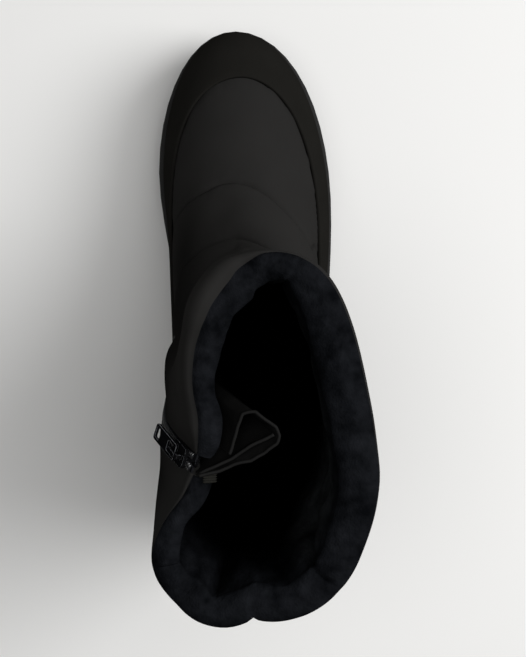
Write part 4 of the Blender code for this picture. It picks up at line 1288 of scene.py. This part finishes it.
METAL_COLOUR = (0.004, 0.004, 0.0045, 1.0)
EDGE_COLOUR = (0.75, 0.78, 0.84, 1.0)
ENAMEL_WEAR = (500.0, 3.0)
ENAMEL_ROUGHNESS = (0.2, 0.36)
EDGE_WEAR = (700.0, 3.0)
EDGE_ROUGHNESS = (0.35, 0.55)
METAL_CORNER = 0.38 * MM

enamel = Finish("black_enamel", {"Base Color": METAL_COLOUR, "Specular IOR Level": 0.0})
enamel_wear = enamel.cloud(ENAMEL_WEAR)
enamel.drive("Roughness", enamel_wear.spread(ENAMEL_ROUGHNESS))
worn_edge = Finish("worn_edge", {"Metallic": 0.8, "Specular IOR Level": 0.3})
edge_wear = worn_edge.cloud(EDGE_WEAR)
worn_edge.drive("Base Color", worn_edge.mix(edge_wear, METAL_COLOUR, EDGE_COLOUR))
worn_edge.drive("Roughness", edge_wear.spread(EDGE_ROUGHNESS))

for node, name, body in (("zip_slider", "slider_body", "boot"), ("zip_pull", "pull_tab", "pull")):
    metal = copy_of(node, name)
    metal.data.materials.append(enamel.material)
    metal.data.materials.append(worn_edge.material)
    round_corners(metal, METAL_CORNER, 2, 35.0, material=1)
    smooth_below(metal, 40.0)
    put_on(metal, body, "zip_metal", None, node)


# Studio
# Pale paper floor under large soft lights, the main one from the boot's outer side, and a camera straight
# above the inner side of the boot, as far up as the photograph's.

FLOOR_SIZE = 6.0
FLOOR_COLOUR = (0.86, 0.857, 0.845, 1.0)
FLOOR_SHADE = (0.80, 0.80, 0.79, 1.0)
FLOOR_TONE = (3.0, 2.0)
FLOOR_UNEVEN = 0.1
WORLD_COLOUR = (1.0, 0.99, 0.975, 1.0)
WORLD_STRENGTH = 0.12
LIGHT_AIM = Vector((0.0, 0.0, 0.1))
LIGHTS = (
    # name, place, size, power
    ("outer_softbox", (0.3, -1.25, 1.25), 1.2, 22.5),
    ("top_softbox", (0.1, -0.4, 2.0), 1.4, 13.5),
    ("inner_softbox", (-0.05, 0.5, 2.0), 0.9, 6.0),
)
CAMERA_PLACE = Vector((-0.0067, 0.0423, 0.88))
CAMERA_TARGET = Vector((-0.0228, -0.0069, 0.10))
IMAGE_HEIGHT = 657
FOCAL_PIXELS = 1502.0
SENSOR = 36.0

bpy.ops.mesh.primitive_plane_add(size=FLOOR_SIZE)
floor = bpy.context.active_object
floor.name = "floor"
paper = Finish("paper_floor", {"Roughness": 0.9, "Specular IOR Level": 0.1})
paper_tone = paper.cloud(FLOOR_TONE)
paper.drive("Base Color", paper.mix(paper_tone * FLOOR_UNEVEN, FLOOR_COLOUR, FLOOR_SHADE))
floor.data.materials.append(paper.material)

world = bpy.data.worlds.new("studio")
world.use_nodes = True
background = world.node_tree.nodes["Background"]
background.inputs["Color"].default_value = WORLD_COLOUR
background.inputs["Strength"].default_value = WORLD_STRENGTH
bpy.context.scene.world = world

for name, place, size, power in LIGHTS:
    light = bpy.data.lights.new(name, "AREA")
    light.shape = "DISK"
    light.size = size
    light.energy = power
    softbox = new_object(name, light)
    softbox.location = place
    softbox.rotation_euler = (LIGHT_AIM - Vector(place)).to_track_quat("-Z", "Y").to_euler()

camera_data = bpy.data.cameras.new("photo_camera")
camera = new_object("photo_camera", camera_data)
camera_data.sensor_width = SENSOR
camera_data.lens = SENSOR * FOCAL_PIXELS / IMAGE_HEIGHT
look = (CAMERA_TARGET - CAMERA_PLACE).normalized()
right = look.cross(Vector((1.0, 0.0, 0.0))).normalized()
upward = right.cross(look)
turn = Matrix((right, upward, -look)).transposed().to_4x4()
camera.matrix_world = Matrix.Translation(CAMERA_PLACE) @ turn
bpy.context.scene.camera = camera
bpy.context.scene.view_settings.view_transform = "Standard"
